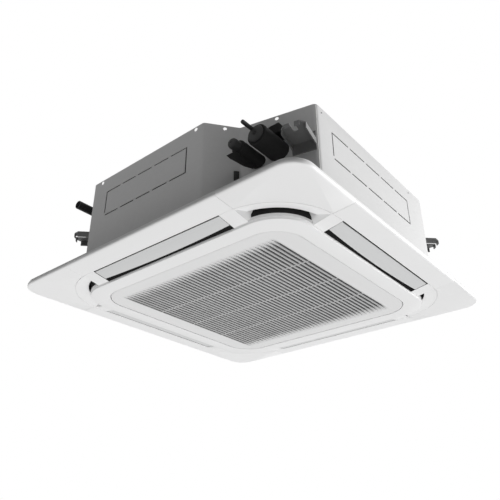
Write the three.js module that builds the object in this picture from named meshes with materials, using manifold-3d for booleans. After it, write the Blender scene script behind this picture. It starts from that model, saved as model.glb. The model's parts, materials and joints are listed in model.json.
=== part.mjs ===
// Four-way ceiling cassette air conditioner, indoor unit with its decoration panel.
//
// Millimetres, +Z up. The origin is the centre of the panel at the lowest plane, the face of the
// intake grille. The ceiling plane is at z = ceilingZ. The piping corner is the (-X, -Y) corner.
// Pieces of one side are drawn for the +X side, where u runs outward along X and v along Y, and are
// turned by quarter turns about Z for the other three sides.

import * as THREE from 'three';
import { mergeVertices } from 'three/addons/utils/BufferGeometryUtils.js';
import Module from 'manifold-3d';

const wasm = await Module();
wasm.setup();

// ------------------------------------------------------------------ driving sizes

// decoration panel
const panelHalf = 475;
const panelCorner = 55;
const rimFootZ = 20;
const rimTopZ = 29;
const ceilingZ = 36;
const panelBackZ = 46;
const skirtWidth = 60;
const outletHalf = panelHalf - skirtWidth;
const outletCorner = 175;
const outletZ = 15;
const outletRoofZ = 42;
const outletWidth = 51;
const centreHalf = outletHalf - outletWidth;
const centreCorner = 100;
const plasticWall = 4;
const coverLength = 213;
const coverSeam = panelHalf - coverLength;
const blockLength = 42;
const endBlock = coverSeam - blockLength;
const blockInnerZ = 6;

// intake grille
const centreRim = 44;
const grilleHalf = centreHalf - centreRim;
const grilleCorner = 80;
const grilleGap = 1.4;
const grilleSkin = 3.5;
const grilleRimZ = 18;
const slatPitch = 13;
const slatGap = 6.5;
const slatMargin = 53;
const slatRows = 2 * Math.floor((grilleHalf - slatMargin) / slatPitch) + 1;
const slotMargin = 35;
const slotRunOut = grilleHalf - slotMargin;
const slotFade = 23;
const slotThrough = slotRunOut - slotFade;
const fieldDepth = 5;
const crossBarStep = 132;
const filterZ = 12.3;

// concealed hinge of the grille: its pins lie beyond the edge, behind the panel's face
const hingeReach = 24;
const hingeY = grilleHalf + hingeReach;
const hingeZ = 7;
const hingeX = grilleHalf - 120;
const neckHalf = 6;
const neckThick = 5;
const catchY = grilleHalf - 11;

// louvres
const louvreHalf = endBlock - 1.3;
const louvreOuterU = outletHalf - 1.8;
const louvreOuterZ = outletZ + 0.5;
const louvreEndU = centreHalf + 13;
const louvreMidU = centreHalf + 6.5;
const louvreSlope = 0.1944;
const louvreThick = 3;
const pivotInset = 29;
const pivotU = outletHalf - pivotInset;
const pivotZ = outletZ + 2;
const pivotPin = 3;
const motorRadius = 12;
const motorOffset = 10;

// casing above the ceiling
const ductInner = pivotU - 20;
const ductWidth = 25;
const ductOuter = ductInner + ductWidth;
const ductHalf = endBlock - 70;
const ductWall = 19;
const casingHalf = ductOuter + ductWall;
const chamferRun = 136;
const chamferFoot = casingHalf - chamferRun;
const notchLeft = [-casingHalf, 253 - casingHalf];
const notchInner = [74 - casingHalf, 197 - casingHalf];
const notchRight = [120 - casingHalf, -casingHalf];
const casingTopZ = 312;
const sheet = 1.5;
const fit = 0.3;
const linerThick = 18;
const panTopZ = 110;

// hanger brackets: slot centres, height of the bearing plate, bolt slot
const hangerX = casingHalf - 55;
const hangerY = casingHalf - 20;
const hangerZ = 205;
const hangerPlate = 3;
const hangerSlot = 12;
const hangerWidth = 60;

// coil
const coilSpace = 51;
const coilOuter = ductInner - coilSpace;
const coilDepth = 38;
const coilInner = coilOuter - coilDepth;
const coilCorner = 130;
const coilFootZ = 75;
const coilTopZ = casingTopZ - 17;
const coilEndX = 103 - coilOuter;
const coilEndY = 185 - coilOuter;

// fan and its motor, which hangs from the top plate
const fanSpace = 37;
const fanRadius = coilInner - fanSpace;
const bladeReach = 68;
const eyeRadius = fanRadius - bladeReach;
const mouthRadius = fanRadius + 10;
const throatRadius = eyeRadius - 9;
const bladeCount = 7;
const shaftRadius = 6;
const fanMotorRadius = 72;
const motorPlateZ = casingTopZ - 25;
const fanHubZ = motorPlateZ - 31;

// pipes, which leave along -X
const gasY = 97 - casingHalf;
const gasZ = 203;
const gasSleeve = 27;
const gasPipe = 8;
const gasTipX = 13 - casingHalf;
const gasSleeveLength = 97;
const liquidY = 149 - casingHalf;
const liquidZ = 190;
const liquidSleeve = 19;
const liquidPipe = 4.8;
const liquidTipX = 9 - casingHalf;
const liquidSleeveLength = 111;
const drainY = casingHalf - 68;
const drainZ = 271;
const drainRadius = 12.5;
const drainTipX = -casingHalf - 6;

// ------------------------------------------------------------------ finishes

const looks = {
  white: { color: 0xe6e7e9, roughness: 0.45, metalness: 0 },
  louvre: { color: 0xd3d6d9, roughness: 0.45, metalness: 0 },
  grille: { color: 0xdcdee0, roughness: 0.5, metalness: 0 },
  zinc: { color: 0xb9bdc0, roughness: 0.42, metalness: 0.8 },
  bracket: { color: 0xaeb2b5, roughness: 0.4, metalness: 0.85 },
  foam: { color: 0xf1f1ef, roughness: 0.9, metalness: 0 },
  net: { color: 0x4b4f52, roughness: 0.8, metalness: 0 },
  fan: { color: 0xc9cdd0, roughness: 0.5, metalness: 0 },
  steel: { color: 0x9da2a6, roughness: 0.35, metalness: 0.9 },
  darkSteel: { color: 0x565b5f, roughness: 0.5, metalness: 0.6 },
  rubber: { color: 0x1c1d1e, roughness: 0.85, metalness: 0 },
  insulation: { color: 0x232426, roughness: 0.9, metalness: 0 },
  copper: { color: 0xb4713f, roughness: 0.35, metalness: 0.9 },
  brass: { color: 0xb8964f, roughness: 0.35, metalness: 0.85 },
  fins: { color: 0xa9afb3, roughness: 0.45, metalness: 0.8 },
  black: { color: 0x26282a, roughness: 0.6, metalness: 0 },
  board: { color: 0x2f6b46, roughness: 0.6, metalness: 0 },
  cream: { color: 0xd8d3c4, roughness: 0.6, metalness: 0 },
};

// ------------------------------------------------------------------ solids

const HALF_TURN = Math.PI;
const QUARTER = Math.PI / 2;
const cornerSteps = 5;

// how many sides a round of this radius has
function facets(radius) {
  if (radius > 60) return 32;
  if (radius > 15) return 20;
  return radius > 7 ? 14 : 10;
}

function signedVolume(points, index) {
  let sum = 0;
  for (let i = 0; i < index.length; i += 3) {
    const a = index[i] * 3;
    const b = index[i + 1] * 3;
    const c = index[i + 2] * 3;
    sum += points[a] * (points[b + 1] * points[c + 2] - points[b + 2] * points[c + 1]);
    sum -= points[a + 1] * (points[b] * points[c + 2] - points[b + 2] * points[c]);
    sum += points[a + 2] * (points[b] * points[c + 1] - points[b + 1] * points[c]);
  }
  return sum;
}

// a closed three.js geometry as a solid, its faces turned outward
function solidOf(geometry) {
  const bare = geometry.clone();
  bare.deleteAttribute('normal');
  bare.deleteAttribute('uv');
  const merged = mergeVertices(bare, 1e-4);
  const points = Float32Array.from(merged.attributes.position.array);
  const corners = [];
  const source = merged.index.array;
  for (let i = 0; i < source.length; i += 3) {
    const [a, b, c] = [source[i], source[i + 1], source[i + 2]];
    if (a !== b && b !== c && c !== a) corners.push(a, b, c);
  }
  if (signedVolume(points, corners) < 0) {
    for (let i = 0; i < corners.length; i += 3) {
      [corners[i + 1], corners[i + 2]] = [corners[i + 2], corners[i + 1]];
    }
  }
  const mesh = new wasm.Mesh({ numProp: 3, vertProperties: points, triVerts: Uint32Array.from(corners) });
  return new wasm.Manifold(mesh);
}

function geometryOf(solid) {
  const mesh = solid.getMesh();
  const geometry = new THREE.BufferGeometry();
  const position = new THREE.BufferAttribute(Float32Array.from(mesh.vertProperties), 3);
  geometry.setAttribute('position', position);
  geometry.setIndex(new THREE.BufferAttribute(Uint32Array.from(mesh.triVerts), 1));
  return geometry;
}

// the finished surface, with corners closer than a few microns drawn together
function surfaceOf(solid) {
  const welded = mergeVertices(geometryOf(solid), 2e-3);
  const source = welded.index.array;
  const kept = [];
  for (let i = 0; i < source.length; i += 3) {
    const [a, b, c] = [source[i], source[i + 1], source[i + 2]];
    if (a !== b && b !== c && c !== a) kept.push(a, b, c);
  }
  welded.setIndex(kept);
  return welded;
}

function indexedSolid(points, index) {
  const geometry = new THREE.BufferGeometry();
  geometry.setAttribute('position', new THREE.Float32BufferAttribute(points, 3));
  geometry.setIndex(index);
  return solidOf(geometry);
}

function join(...solids) {
  return solids.flat().reduce((sum, next) => sum.add(next));
}

function cut(base, ...tools) {
  return tools.flat().reduce((rest, tool) => rest.subtract(tool), base);
}

// turns a solid about Z, then moves it
function placed(solid, angle, x = 0, y = 0, z = 0) {
  const geometry = geometryOf(solid);
  geometry.rotateZ(angle);
  geometry.translate(x, y, z);
  return solidOf(geometry);
}

function fourSides(solid) {
  return [0, 1, 2, 3].map((turn) => placed(solid, turn * QUARTER));
}

function box(x0, x1, y0, y1, z0, z1) {
  const geometry = new THREE.BoxGeometry(1, 1, 1);
  const at = geometry.attributes.position;
  for (let i = 0; i < at.count; i++) {
    at.setXYZ(i, at.getX(i) > 0 ? x1 : x0, at.getY(i) > 0 ? y1 : y0, at.getZ(i) > 0 ? z1 : z0);
  }
  return solidOf(geometry);
}

// a round bar between two points
function bar(from, to, radius, steps = facets(radius)) {
  const start = new THREE.Vector3(...from);
  const run = new THREE.Vector3(...to).sub(start);
  const geometry = new THREE.CylinderGeometry(radius, radius, run.length(), steps);
  const joined = geometryOf(solidOf(geometry));
  const turn = new THREE.Quaternion().setFromUnitVectors(new THREE.Vector3(0, 1, 0), run.clone().normalize());
  joined.applyQuaternion(turn);
  joined.translate(start.x + run.x / 2, start.y + run.y / 2, start.z + run.z / 2);
  return solidOf(joined);
}

function upright(x, y, radius, z0, z1, steps = facets(radius)) {
  return bar([x, y, z0], [x, y, z1], radius, steps);
}

// a closed (radius, z) profile spun about Z
function spun(profile, steps = 32) {
  const points = [...profile, profile[0]].map(([r, z]) => new THREE.Vector2(r, z));
  const geometry = new THREE.LatheGeometry(points, steps);
  const solid = geometryOf(solidOf(geometry));
  solid.rotateX(QUARTER);
  return solidOf(solid);
}

// a flat outline raised from z0 to z1, with holes
function prism(outline, z0, z1, holes = []) {
  const shape = new THREE.Shape(outline.map(([x, y]) => new THREE.Vector2(x, y)));
  for (const hole of holes) {
    shape.holes.push(new THREE.Path(hole.map(([x, y]) => new THREE.Vector2(x, y))));
  }
  const geometry = new THREE.ExtrudeGeometry(shape, { depth: 1, bevelEnabled: false });
  const at = geometry.attributes.position;
  for (let i = 0; i < at.count; i++) at.setZ(i, at.getZ(i) > 0.5 ? z1 : z0);
  return solidOf(geometry);
}

// a rounded square of half size s and corner radius r, counter-clockwise
function roundedSquare(s, r) {
  const points = [];
  for (let corner = 0; corner < 4; corner++) {
    const middle = corner * QUARTER + QUARTER / 2;
    const cx = Math.sign(Math.cos(middle)) * (s - r);
    const cy = Math.sign(Math.sin(middle)) * (s - r);
    for (let i = 0; i <= cornerSteps; i++) {
      const angle = (corner + i / cornerSteps) * QUARTER;
      points.push([cx + r * Math.cos(angle), cy + r * Math.sin(angle)]);
    }
  }
  return points;
}

// a closed (half size, corner radius, z) profile swept round a rounded square
function squareRing(profile) {
  const rows = profile.map(([s, r]) => roundedSquare(s, r));
  const around = rows[0].length;
  const points = [];
  rows.forEach((row, k) => row.forEach(([x, y]) => points.push(x, y, profile[k][2])));
  const index = [];
  for (let k = 0; k < rows.length; k++) {
    const next = (k + 1) % rows.length;
    for (let i = 0; i < around; i++) {
      const j = (i + 1) % around;
      const [a, b, c, d] = [k * around + i, k * around + j, next * around + j, next * around + i];
      index.push(a, b, c, a, c, d);
    }
  }
  return indexedSolid(points, index);
}

// convex sections of equal point count joined in order, with flat ends
function loft(sections) {
  const count = sections[0].length;
  const points = sections.flat(2);
  const index = [];
  for (let k = 0; k + 1 < sections.length; k++) {
    for (let i = 0; i < count; i++) {
      const j = (i + 1) % count;
      const a = k * count + i;
      const b = k * count + j;
      index.push(a, b, b + count, a, b + count, a + count);
    }
  }
  const last = (sections.length - 1) * count;
  for (let i = 1; i + 1 < count; i++) {
    index.push(0, i + 1, i);
    index.push(last, last + i, last + i + 1);
  }
  return indexedSolid(points, index);
}

// a round rod along straight runs with rounded bends
function pipeRun(points, radius, bend, sides = 10) {
  const at = points.map((p) => new THREE.Vector3(...p));
  const stops = [at[0]];
  for (let i = 1; i + 1 < at.length; i++) {
    const before = at[i].clone().add(at[i - 1].clone().sub(at[i]).setLength(bend));
    const after = at[i].clone().add(at[i + 1].clone().sub(at[i]).setLength(bend));
    stops.push(...new THREE.QuadraticBezierCurve3(before, at[i], after).getPoints(4));
  }
  stops.push(at[at.length - 1]);
  const side = new THREE.Vector3();
  const sections = stops.map((stop, i) => {
    const ahead = stops[Math.min(i + 1, stops.length - 1)];
    const behind = stops[Math.max(i - 1, 0)];
    const along = ahead.clone().sub(behind).normalize();
    if (i === 0) side.set(along.z, along.x, along.y);
    side.addScaledVector(along, -side.dot(along)).normalize();
    const up = along.clone().cross(side);
    const section = [];
    for (let k = 0; k < sides; k++) {
      const angle = k / sides * 2 * HALF_TURN;
      const point = stop.clone();
      point.addScaledVector(side, radius * Math.cos(angle));
      point.addScaledVector(up, radius * Math.sin(angle));
      section.push(point.toArray());
    }
    return section;
  });
  return loft(sections);
}

// moves every edge of a counter-clockwise outline inward by d
function inset(outline, d) {
  const count = outline.length;
  return outline.map((point, i) => {
    const before = outline[(i + count - 1) % count];
    const after = outline[(i + 1) % count];
    const [ax, ay] = [point[0] - before[0], point[1] - before[1]];
    const [bx, by] = [after[0] - point[0], after[1] - point[1]];
    const la = Math.hypot(ax, ay);
    const lb = Math.hypot(bx, by);
    const na = [-ay / la, ax / la];
    const nb = [-by / lb, bx / lb];
    const scale = d / (1 + na[0] * nb[0] + na[1] * nb[1]);
    return [point[0] + (na[0] + nb[0]) * scale, point[1] + (na[1] + nb[1]) * scale];
  });
}

// ------------------------------------------------------------------ decoration panel

// the corner region outside the two cover seams, for the (+X, +Y) corner
function cornerBox(edge, z0, z1) {
  const far = panelHalf + 25;
  return box(edge, far, edge, far, z0, z1);
}

// lower face of the sloping blocks beside each louvre
function blockFaceZ(u) {
  return blockInnerZ + (u - centreHalf) * (outletZ + 0.5 - blockInnerZ) / (outletHalf - centreHalf);
}

// the space of one crescent outlet: its two end faces lean back as they rise
function crescentEnds() {
  const lean = 0.55;
  const slope = (blockFaceZ(outletHalf) - blockInnerZ) / (outletHalf - centreHalf);
  const far = panelHalf + 5;
  const sections = [-5, outletRoofZ].map((z) => {
    const near = (coverSeam + lean * (z - blockInnerZ + slope * centreHalf)) / (1 + lean * slope);
    const side = coverSeam + lean * (z - blockInnerZ - slope * (far - centreHalf));
    return [[near, near, z], [far, side, z], [far, far, z], [side, far, z]];
  });
  return loft(sections);
}

function crescentPocket() {
  const wallDrop = 19;
  const ring = squareRing([
    [centreHalf + 1, centreCorner + 1, -1],
    [outletHalf + 0.2, outletCorner + 0.2, -1],
    [outletHalf + 0.2, outletCorner + 0.2, outletZ - 2],
    [outletHalf - wallDrop, outletCorner - wallDrop, outletZ + 18],
    [outletHalf - wallDrop, outletCorner - wallDrop, outletRoofZ],
    [centreHalf + 1, centreCorner + 1, outletRoofZ],
  ]);
  return ring.intersect(crescentEnds());
}

function coverRing(grow) {
  const s = outletHalf + 2.5 - grow;
  const r = outletCorner + 2.5 - grow;
  const inner = panelHalf - 2.8 - grow;
  const innerCorner = panelCorner - 2.8 - grow;
  const out = grow > 0 ? 7 : 0;
  const below = grow > 0 ? 3 : 0;
  return squareRing([
    [s, r, outletZ + 0.1 - below],
    [panelHalf - 2 + out, panelCorner - 2 + out, rimFootZ - below],
    [panelHalf + out, panelCorner + out, rimFootZ + 2 - below],
    [panelHalf + out, panelCorner + out, rimTopZ + grow],
    [inner, innerCorner, rimTopZ + grow],
    [inner, innerCorner, rimFootZ + 3 + grow],
    [s, r, outletZ + 2.6 + grow],
  ]);
}

function cornerCover() {
  return coverRing(0).intersect(cornerBox(coverSeam + fit, 0, ceilingZ));
}

function panelRing() {
  const wall = plasticWall - 0.5;
  const lip = grilleHalf + 3.2;
  const lipCorner = grilleCorner + 3.2;
  return squareRing([
    [panelHalf - 2, panelCorner - 2, rimFootZ],
    [panelHalf, panelCorner, rimFootZ + 2],
    [panelHalf, panelCorner, rimTopZ],
    [panelHalf - 4, panelCorner - 4, rimTopZ],
    [panelHalf - 4, panelCorner - 4, ceilingZ],
    [panelHalf - 10, panelCorner - 10, ceilingZ],
    [panelHalf - 10, panelCorner - 10, rimTopZ - 2],
    [outletHalf + plasticWall, outletCorner + plasticWall, outletZ + 7],
    [outletHalf + plasticWall, outletCorner + plasticWall, panelBackZ],
    [centreHalf - plasticWall, centreCorner - plasticWall, panelBackZ],
    [centreHalf - plasticWall, centreCorner - plasticWall, wall],
    [lip + 3.3, lipCorner + 3.3, wall],
    [lip + 3.3, lipCorner + 3.3, panelBackZ],
    [lip, lipCorner, panelBackZ],
    [lip, lipCorner, 3.2],
    [grilleHalf, grilleCorner, 3.2],
    [grilleHalf, grilleCorner, 0],
    [centreHalf - 2, centreCorner - 2, 0],
    [centreHalf, centreCorner, 2],
    [centreHalf, centreCorner, outletRoofZ],
    [outletHalf, outletCorner, outletRoofZ],
    [outletHalf, outletCorner, outletZ + 2],
    [outletHalf + 2, outletCorner + 2, outletZ],
  ]);
}

// two ears on the back of the centre frame that hold one hinge pin of the grille
function hingeBracket(x) {
  const ears = [-1, 1].map((side) => {
    const at = x + side * (neckHalf + 2.5);
    const foot = box(at - 1.5, at + 1.5, hingeY - 4, hingeY + 4, plasticWall - 1, hingeZ);
    return join(foot, bar([at - 1.5, hingeY, hingeZ], [at + 1.5, hingeY, hingeZ], 4));
  });
  return cut(join(ears), bar([x - 20, hingeY, hingeZ], [x + 20, hingeY, hingeZ], 2.3));
}

function panelFrame() {
  const fillRing = squareRing([
    [centreHalf - 0.5, centreCorner - 0.5, blockInnerZ],
    [outletHalf + 0.5, outletCorner + 0.5, outletZ + 0.5],
    [outletHalf + 0.5, outletCorner + 0.5, outletRoofZ + 1],
    [centreHalf - 0.5, centreCorner - 0.5, outletRoofZ + 1],
  ]);
  const fills = fourSides(fillRing.intersect(cornerBox(endBlock, 0, panelBackZ)));
  const pockets = fourSides(crescentPocket());
  const recess = coverRing(fit).intersect(cornerBox(coverSeam, 0, ceilingZ));
  const duct = box(ductInner, ductOuter, -ductHalf, ductHalf, outletRoofZ - 1, panelBackZ + 1);
  const motorBed = box(pivotU - 15, pivotU + 15, endBlock + 3, endBlock + 26,
    pivotZ + motorOffset - motorRadius - fit, panelBackZ + 1);
  const farHole = bar([pivotU, endBlock - 1, pivotZ], [pivotU, endBlock + 4, pivotZ], pivotPin + fit);
  const nearHole = bar([pivotU, -endBlock + 1, pivotZ], [pivotU, -endBlock - 12, pivotZ], pivotPin + fit);
  const sideCuts = [duct, motorBed, farHole, nearHole, recess].flatMap((tool) => fourSides(tool));
  const neckWays = [-hingeX, hingeX].map((x) => {
    return box(x - neckHalf - 2, x + neckHalf + 2, grilleHalf + 1, grilleHalf + 7.5, plasticWall - 0.5, panelBackZ + 1);
  });
  const hinges = [hingeBracket(hingeX), hingeBracket(-hingeX)];
  return join(cut(join(panelRing(), fills), pockets, sideCuts, neckWays), hinges);
}

// ------------------------------------------------------------------ louvres and their motors

function louvreFaceZ(u) {
  return louvreOuterZ - (louvreOuterU - u) * louvreSlope;
}

function louvre() {
  const stations = 10;
  const sections = [];
  for (let i = 0; i <= stations; i++) {
    const v = louvreHalf * (2 * i / stations - 1);
    const bulge = 1 - (v / louvreHalf) ** 2;
    const u = louvreEndU + (louvreMidU - louvreEndU) * bulge;
    sections.push([
      [louvreOuterU, v, louvreOuterZ],
      [u, v, louvreFaceZ(u)],
      [u + 0.6, v, louvreFaceZ(u) + louvreThick],
      [louvreOuterU - 0.6, v, louvreOuterZ + louvreThick],
    ]);
  }
  const earIn = louvreHalf - 4;
  const earOut = louvreHalf - 1;
  const ears = [-1, 1].map((side) => join(
    bar([pivotU, side * earIn, pivotZ], [pivotU, side * earOut, pivotZ], 5),
    box(pivotU - 5, pivotU + 5, Math.min(side * earIn, side * earOut), Math.max(side * earIn, side * earOut),
      louvreFaceZ(pivotU - 5) + 2.4, pivotZ),
  ));
  const farPin = bar([pivotU, earIn, pivotZ], [pivotU, endBlock + 2.8, pivotZ], pivotPin);
  const nearPin = bar([pivotU, -earIn, pivotZ], [pivotU, -endBlock - 10, pivotZ], pivotPin);
  const socket = bar([pivotU, earIn + 1, pivotZ], [pivotU, endBlock + 5, pivotZ], 2);
  return cut(join(loft(sections), ears, farPin, nearPin), socket);
}

function louvreMotor() {
  const v0 = endBlock + 3.5;
  const z = pivotZ + motorOffset;
  const can = bar([pivotU, v0, z], [pivotU, v0 + 19, z], motorRadius);
  const lugs = box(pivotU - 14.5, pivotU + 14.5, v0, v0 + 2, z - 4, z + 4);
  const boss = bar([pivotU, v0 - 0.2, pivotZ], [pivotU, v0 + 2, pivotZ], 2.2);
  const shaft = bar([pivotU, v0 + 1, pivotZ], [pivotU, louvreHalf - 1.5, pivotZ], 1.7);
  const plug = box(pivotU - 7, pivotU + 7, v0 + 4, v0 + 16, z + 8, z + 15);
  return join(can, lugs, boss, shaft, plug);
}

// ------------------------------------------------------------------ intake grille and filter

function slatGaps() {
  const points = [];
  const index = [];
  const faces = [0, 2, 1, 0, 3, 2, 4, 5, 6, 4, 6, 7, 0, 1, 5, 0, 5, 4, 1, 2, 6, 1, 6, 5, 2, 3, 7, 2, 7, 6,
    3, 0, 4, 3, 4, 7];
  for (let row = 0; row < slatRows; row++) {
    const y = (row - (slatRows - 1) / 2) * slatPitch;
    const start = points.length / 3;
    for (const [reach, z] of [[slotRunOut, -1], [slotThrough, fieldDepth + 1]]) {
      points.push(-reach, y - slatGap / 2, z, reach, y - slatGap / 2, z);
      points.push(reach, y + slatGap / 2, z, -reach, y + slatGap / 2, z);
    }
    index.push(...faces.map((corner) => start + corner));
  }
  return indexedSolid(points, index);
}

// goose neck that carries a hinge pin over the panel's lip, so that the grille can hang straight down
function hingeNeck(x) {
  const [x0, x1] = [x - neckHalf, x + neckHalf];
  const lipReach = Math.hypot(hingeReach, hingeZ);
  const inner = hingeY - lipReach - 0.9;
  const under = hingeZ + hingeReach + 0.8;
  const roll = bar([x0, hingeY, hingeZ], [x1, hingeY, hingeZ], 3.2);
  const riser = box(x0, x1, hingeY - 3, hingeY + 3, hingeZ, under + neckThick);
  const bridge = box(x0, x1, inner - neckThick, hingeY + 3, under, under + neckThick);
  const drop = box(x0, x1, inner - neckThick, inner, grilleSkin - 1, under + neckThick);
  const pin = bar([x - neckHalf - 4, hingeY, hingeZ], [x + neckHalf + 4, hingeY, hingeZ], 2);
  return join(roll, riser, bridge, drop, pin);
}

function intakeGrille() {
  const half = grilleHalf - grilleGap;
  const corner = grilleCorner - grilleGap;
  const face = prism(roundedSquare(half - 1.6, corner - 1.6), 0, grilleSkin);
  const rim = squareRing([
    [half - 1.6, corner - 1.6, 0],
    [half, corner, 1.6],
    [half, corner, grilleRimZ],
    [half - 3, corner - 3, grilleRimZ],
    [half - 3, corner - 3, grilleSkin - 1],
    [half - 8, corner - 8, grilleSkin - 1],
    [half - 8, corner - 8, 0],
  ]);
  const fieldX = slotRunOut + 4;
  const fieldY = (slatRows - 1) / 2 * slatPitch + 7;
  const field = box(-fieldX, fieldX, -fieldY, fieldY, 1, fieldDepth);
  const notches = [-hingeX, hingeX].map((x) => box(x - 12, x + 12, half - 6, half + 5, grilleSkin, 30));
  const studs = [-hingeX, hingeX].map((x) => upright(x, -catchY, 3, grilleSkin - 1, 27));
  const shelves = [-1, 1].map((side) => {
    const clipX = side * (fieldX + 4.5);
    return box(clipX - 2.5, clipX + 2.5, -40, 40, grilleSkin - 1, filterZ + 6);
  });
  const body = cut(join(face, rim, field), slatGaps(), notches);
  return join(body, studs, shelves, hingeNeck(hingeX), hingeNeck(-hingeX));
}

// frame on the back of the slats that carries the filter, with three bars across the slats
function filterTray() {
  const halfX = slotRunOut + 4;
  const halfY = (slatRows - 1) / 2 * slatPitch + 7;
  const z0 = fieldDepth + fit;
  const z1 = filterZ - fit;
  const tray = box(-halfX, halfX, -halfY, halfY, z0, z1);
  const edges = [-2, -1, 0, 1, 2].map((k) => Math.abs(k) < 2 ? k * crossBarStep : Math.sign(k) * (halfX - 1));
  const bays = edges.slice(1).map((right, i) => {
    return box(edges[i] + 3, right - 3, -halfY + 4, halfY - 4, z0 - 1, z1 + 1);
  });
  return cut(tray, bays);
}

function airFilter() {
  const halfX = slotRunOut + 5;
  const halfY = (slatRows - 1) / 2 * slatPitch + 8;
  const z0 = filterZ;
  const frame = box(-halfX, halfX, -halfY, halfY, z0, z0 + 5);
  const columns = 5;
  const rows = 5;
  const cellX = 2 * halfX / columns;
  const cellY = 2 * halfY / rows;
  const windows = [];
  for (let i = 0; i < columns; i++) {
    for (let j = 0; j < rows; j++) {
      const x = -halfX + (i + 0.5) * cellX;
      const y = -halfY + (j + 0.5) * cellY;
      windows.push(box(x - cellX / 2 + 3, x + cellX / 2 - 3, y - cellY / 2 + 3, y + cellY / 2 - 3, z0 + 1.2, z0 + 6));
    }
  }
  return cut(frame, windows);
}

function catchClip(x) {
  const wall = grilleHalf + 3.2 - fit;
  const body = box(x - 15, x + 15, -wall, -catchY + 9, 20, 32);
  const hole = upright(x, -catchY, 3.6, 18, 34);
  const relief = box(x - 8, x + 8, -catchY - 6, -catchY + 12, 25, 34);
  return cut(body, hole, relief);
}

// ------------------------------------------------------------------ casing

const casingOutline = [
  [casingHalf, -chamferFoot],
  [casingHalf, chamferFoot],
  [chamferFoot, casingHalf],
  [-chamferFoot, casingHalf],
  [-casingHalf, chamferFoot],
  notchLeft,
  notchInner,
  notchRight,
  [chamferFoot, -casingHalf],
];
const wallFootZ = panelBackZ + fit;
const wallTopZ = casingTopZ - sheet - fit;
const notchRun = [notchRight[0] - notchInner[0], notchRight[1] - notchInner[1]];
const notchLength = Math.hypot(...notchRun);
const notchAngle = Math.atan2(-notchRun[0], notchRun[1]);

// a piece drawn on the piping wall: x outward from the wall, y along it from its inner corner
function onPipingWall(solid) {
  return placed(solid, notchAngle, notchInner[0], notchInner[1], 0);
}

// dashed outline of a branch duct knock-out, drawn on the plane x = 0 between y0 and y1
function knockOut(y0, y1, z0, z1) {
  const slot = 3;
  const tab = 9;
  const third = (y1 - y0) / 3;
  const pieces = [
    box(-4, 4, y0, y0 + slot, z0, z1),
    box(-4, 4, y1 - slot, y1, z0, z1),
  ];
  for (const z of [z0, z1 - slot]) {
    for (let k = 0; k < 3; k++) {
      const a = y0 + k * third + (k > 0 ? tab / 2 : 0);
      const b = y0 + (k + 1) * third - (k < 2 ? tab / 2 : 0);
      pieces.push(box(-4, 4, a, b, z, z + slot));
    }
  }
  return join(pieces);
}

function casingShell() {
  const wall = prism(casingOutline, wallFootZ, wallTopZ, [inset(casingOutline, sheet)]);
  const flange = prism(casingOutline, wallFootZ, wallFootZ + sheet, [inset(casingOutline, 12)]);
  const topLip = prism(casingOutline, wallTopZ - sheet, wallTopZ, [inset(casingOutline, 8)]);
  const leftKnock = placed(knockOut(308 - casingHalf, casingHalf - 195, 185, 265), 0, -casingHalf, 0, 0);
  const frontKnock = placed(knockOut(183 - casingHalf, casingHalf - 234, 185, 265), -QUARTER, 0, -casingHalf, 0);
  const turned = solidOf(geometryOf(frontKnock));
  const window = onPipingWall(box(-8, 8, 22, 134, 168, 259));
  const drainHole = bar([-casingHalf - 10, drainY, drainZ], [-casingHalf + 100, drainY, drainZ], drainRadius + 1);
  const cableHole = onPipingWall(bar([-8, 139, 236], [8, 139, 236], 6.5));
  return cut(join(wall, flange, topLip), leftKnock, turned, window, drainHole, cableHole);
}

// the piping-side half of the wall, between a seam on the front face and one on the back face
const frontSeamX = casingHalf - 202;
const backSeamX = 148 - casingHalf;
const frontRegion = [
  [frontSeamX, -600], [frontSeamX, -300], [-250, -100], [backSeamX, 250], [backSeamX, 600], [-600, 600],
  [-600, -600],
];

function frontWall() {
  return casingShell().intersect(prism(frontRegion, 0, 400));
}

function rearWall() {
  return cut(casingShell(), prism(inset(frontRegion, -0.4), 0, 400));
}

function casingTop() {
  const dish = 146;
  const plate = prism(casingOutline, casingTopZ - sheet, casingTopZ);
  const hollow = upright(0, 0, dish, casingTopZ - 4, casingTopZ + 1);
  const bowl = spun([
    [0, casingTopZ - 7.5],
    [dish - 7, casingTopZ - 7.5],
    [dish + 1, casingTopZ - sheet],
    [dish + 1, casingTopZ],
    [dish, casingTopZ],
    [dish - 8, casingTopZ - 6],
    [0, casingTopZ - 6],
  ]);
  return join(cut(plate, hollow), bowl);
}

// bearing plate with an open bolt slot, turned-down edges and a back plate on the wall
function hangerBracket(reach) {
  const half = hangerWidth / 2;
  const nose = reach + 20;
  const outline = [
    [fit, -half], [nose - 12, -half], [nose, -half + 12], [nose, half - 12], [nose - 12, half], [fit, half],
  ];
  const plate = prism(outline, hangerZ, hangerZ + hangerPlate);
  const slot = join(
    upright(reach - 6, 0, hangerSlot / 2, hangerZ - 20, hangerZ + 10),
    box(reach - 6, nose + 5, -hangerSlot / 2, hangerSlot / 2, hangerZ - 20, hangerZ + 10),
  );
  const back = box(fit, fit + hangerPlate, -half, half, hangerZ - 28, hangerZ + 24);
  const lips = [-1, 1].map((side) => {
    const y = side * (half - 1.5);
    return box(fit, nose - 12, y - 1.5, y + 1.5, hangerZ - 14, hangerZ + 1);
  });
  const nose1 = box(nose - 3, nose, hangerSlot / 2, half - 12, hangerZ - 9, hangerZ + 1);
  const nose2 = box(nose - 3, nose, -half + 12, -hangerSlot / 2, hangerZ - 9, hangerZ + 1);
  const screws = [-1, 1].map((side) => bar(
    [fit + 2, side * 20, hangerZ + 15], [fit + 5.5, side * 20, hangerZ + 15], 4.5, 12));
  return join(cut(join(plate, back, lips, nose1, nose2), slot), screws);
}

// ------------------------------------------------------------------ liner, pan, bell mouth

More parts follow.
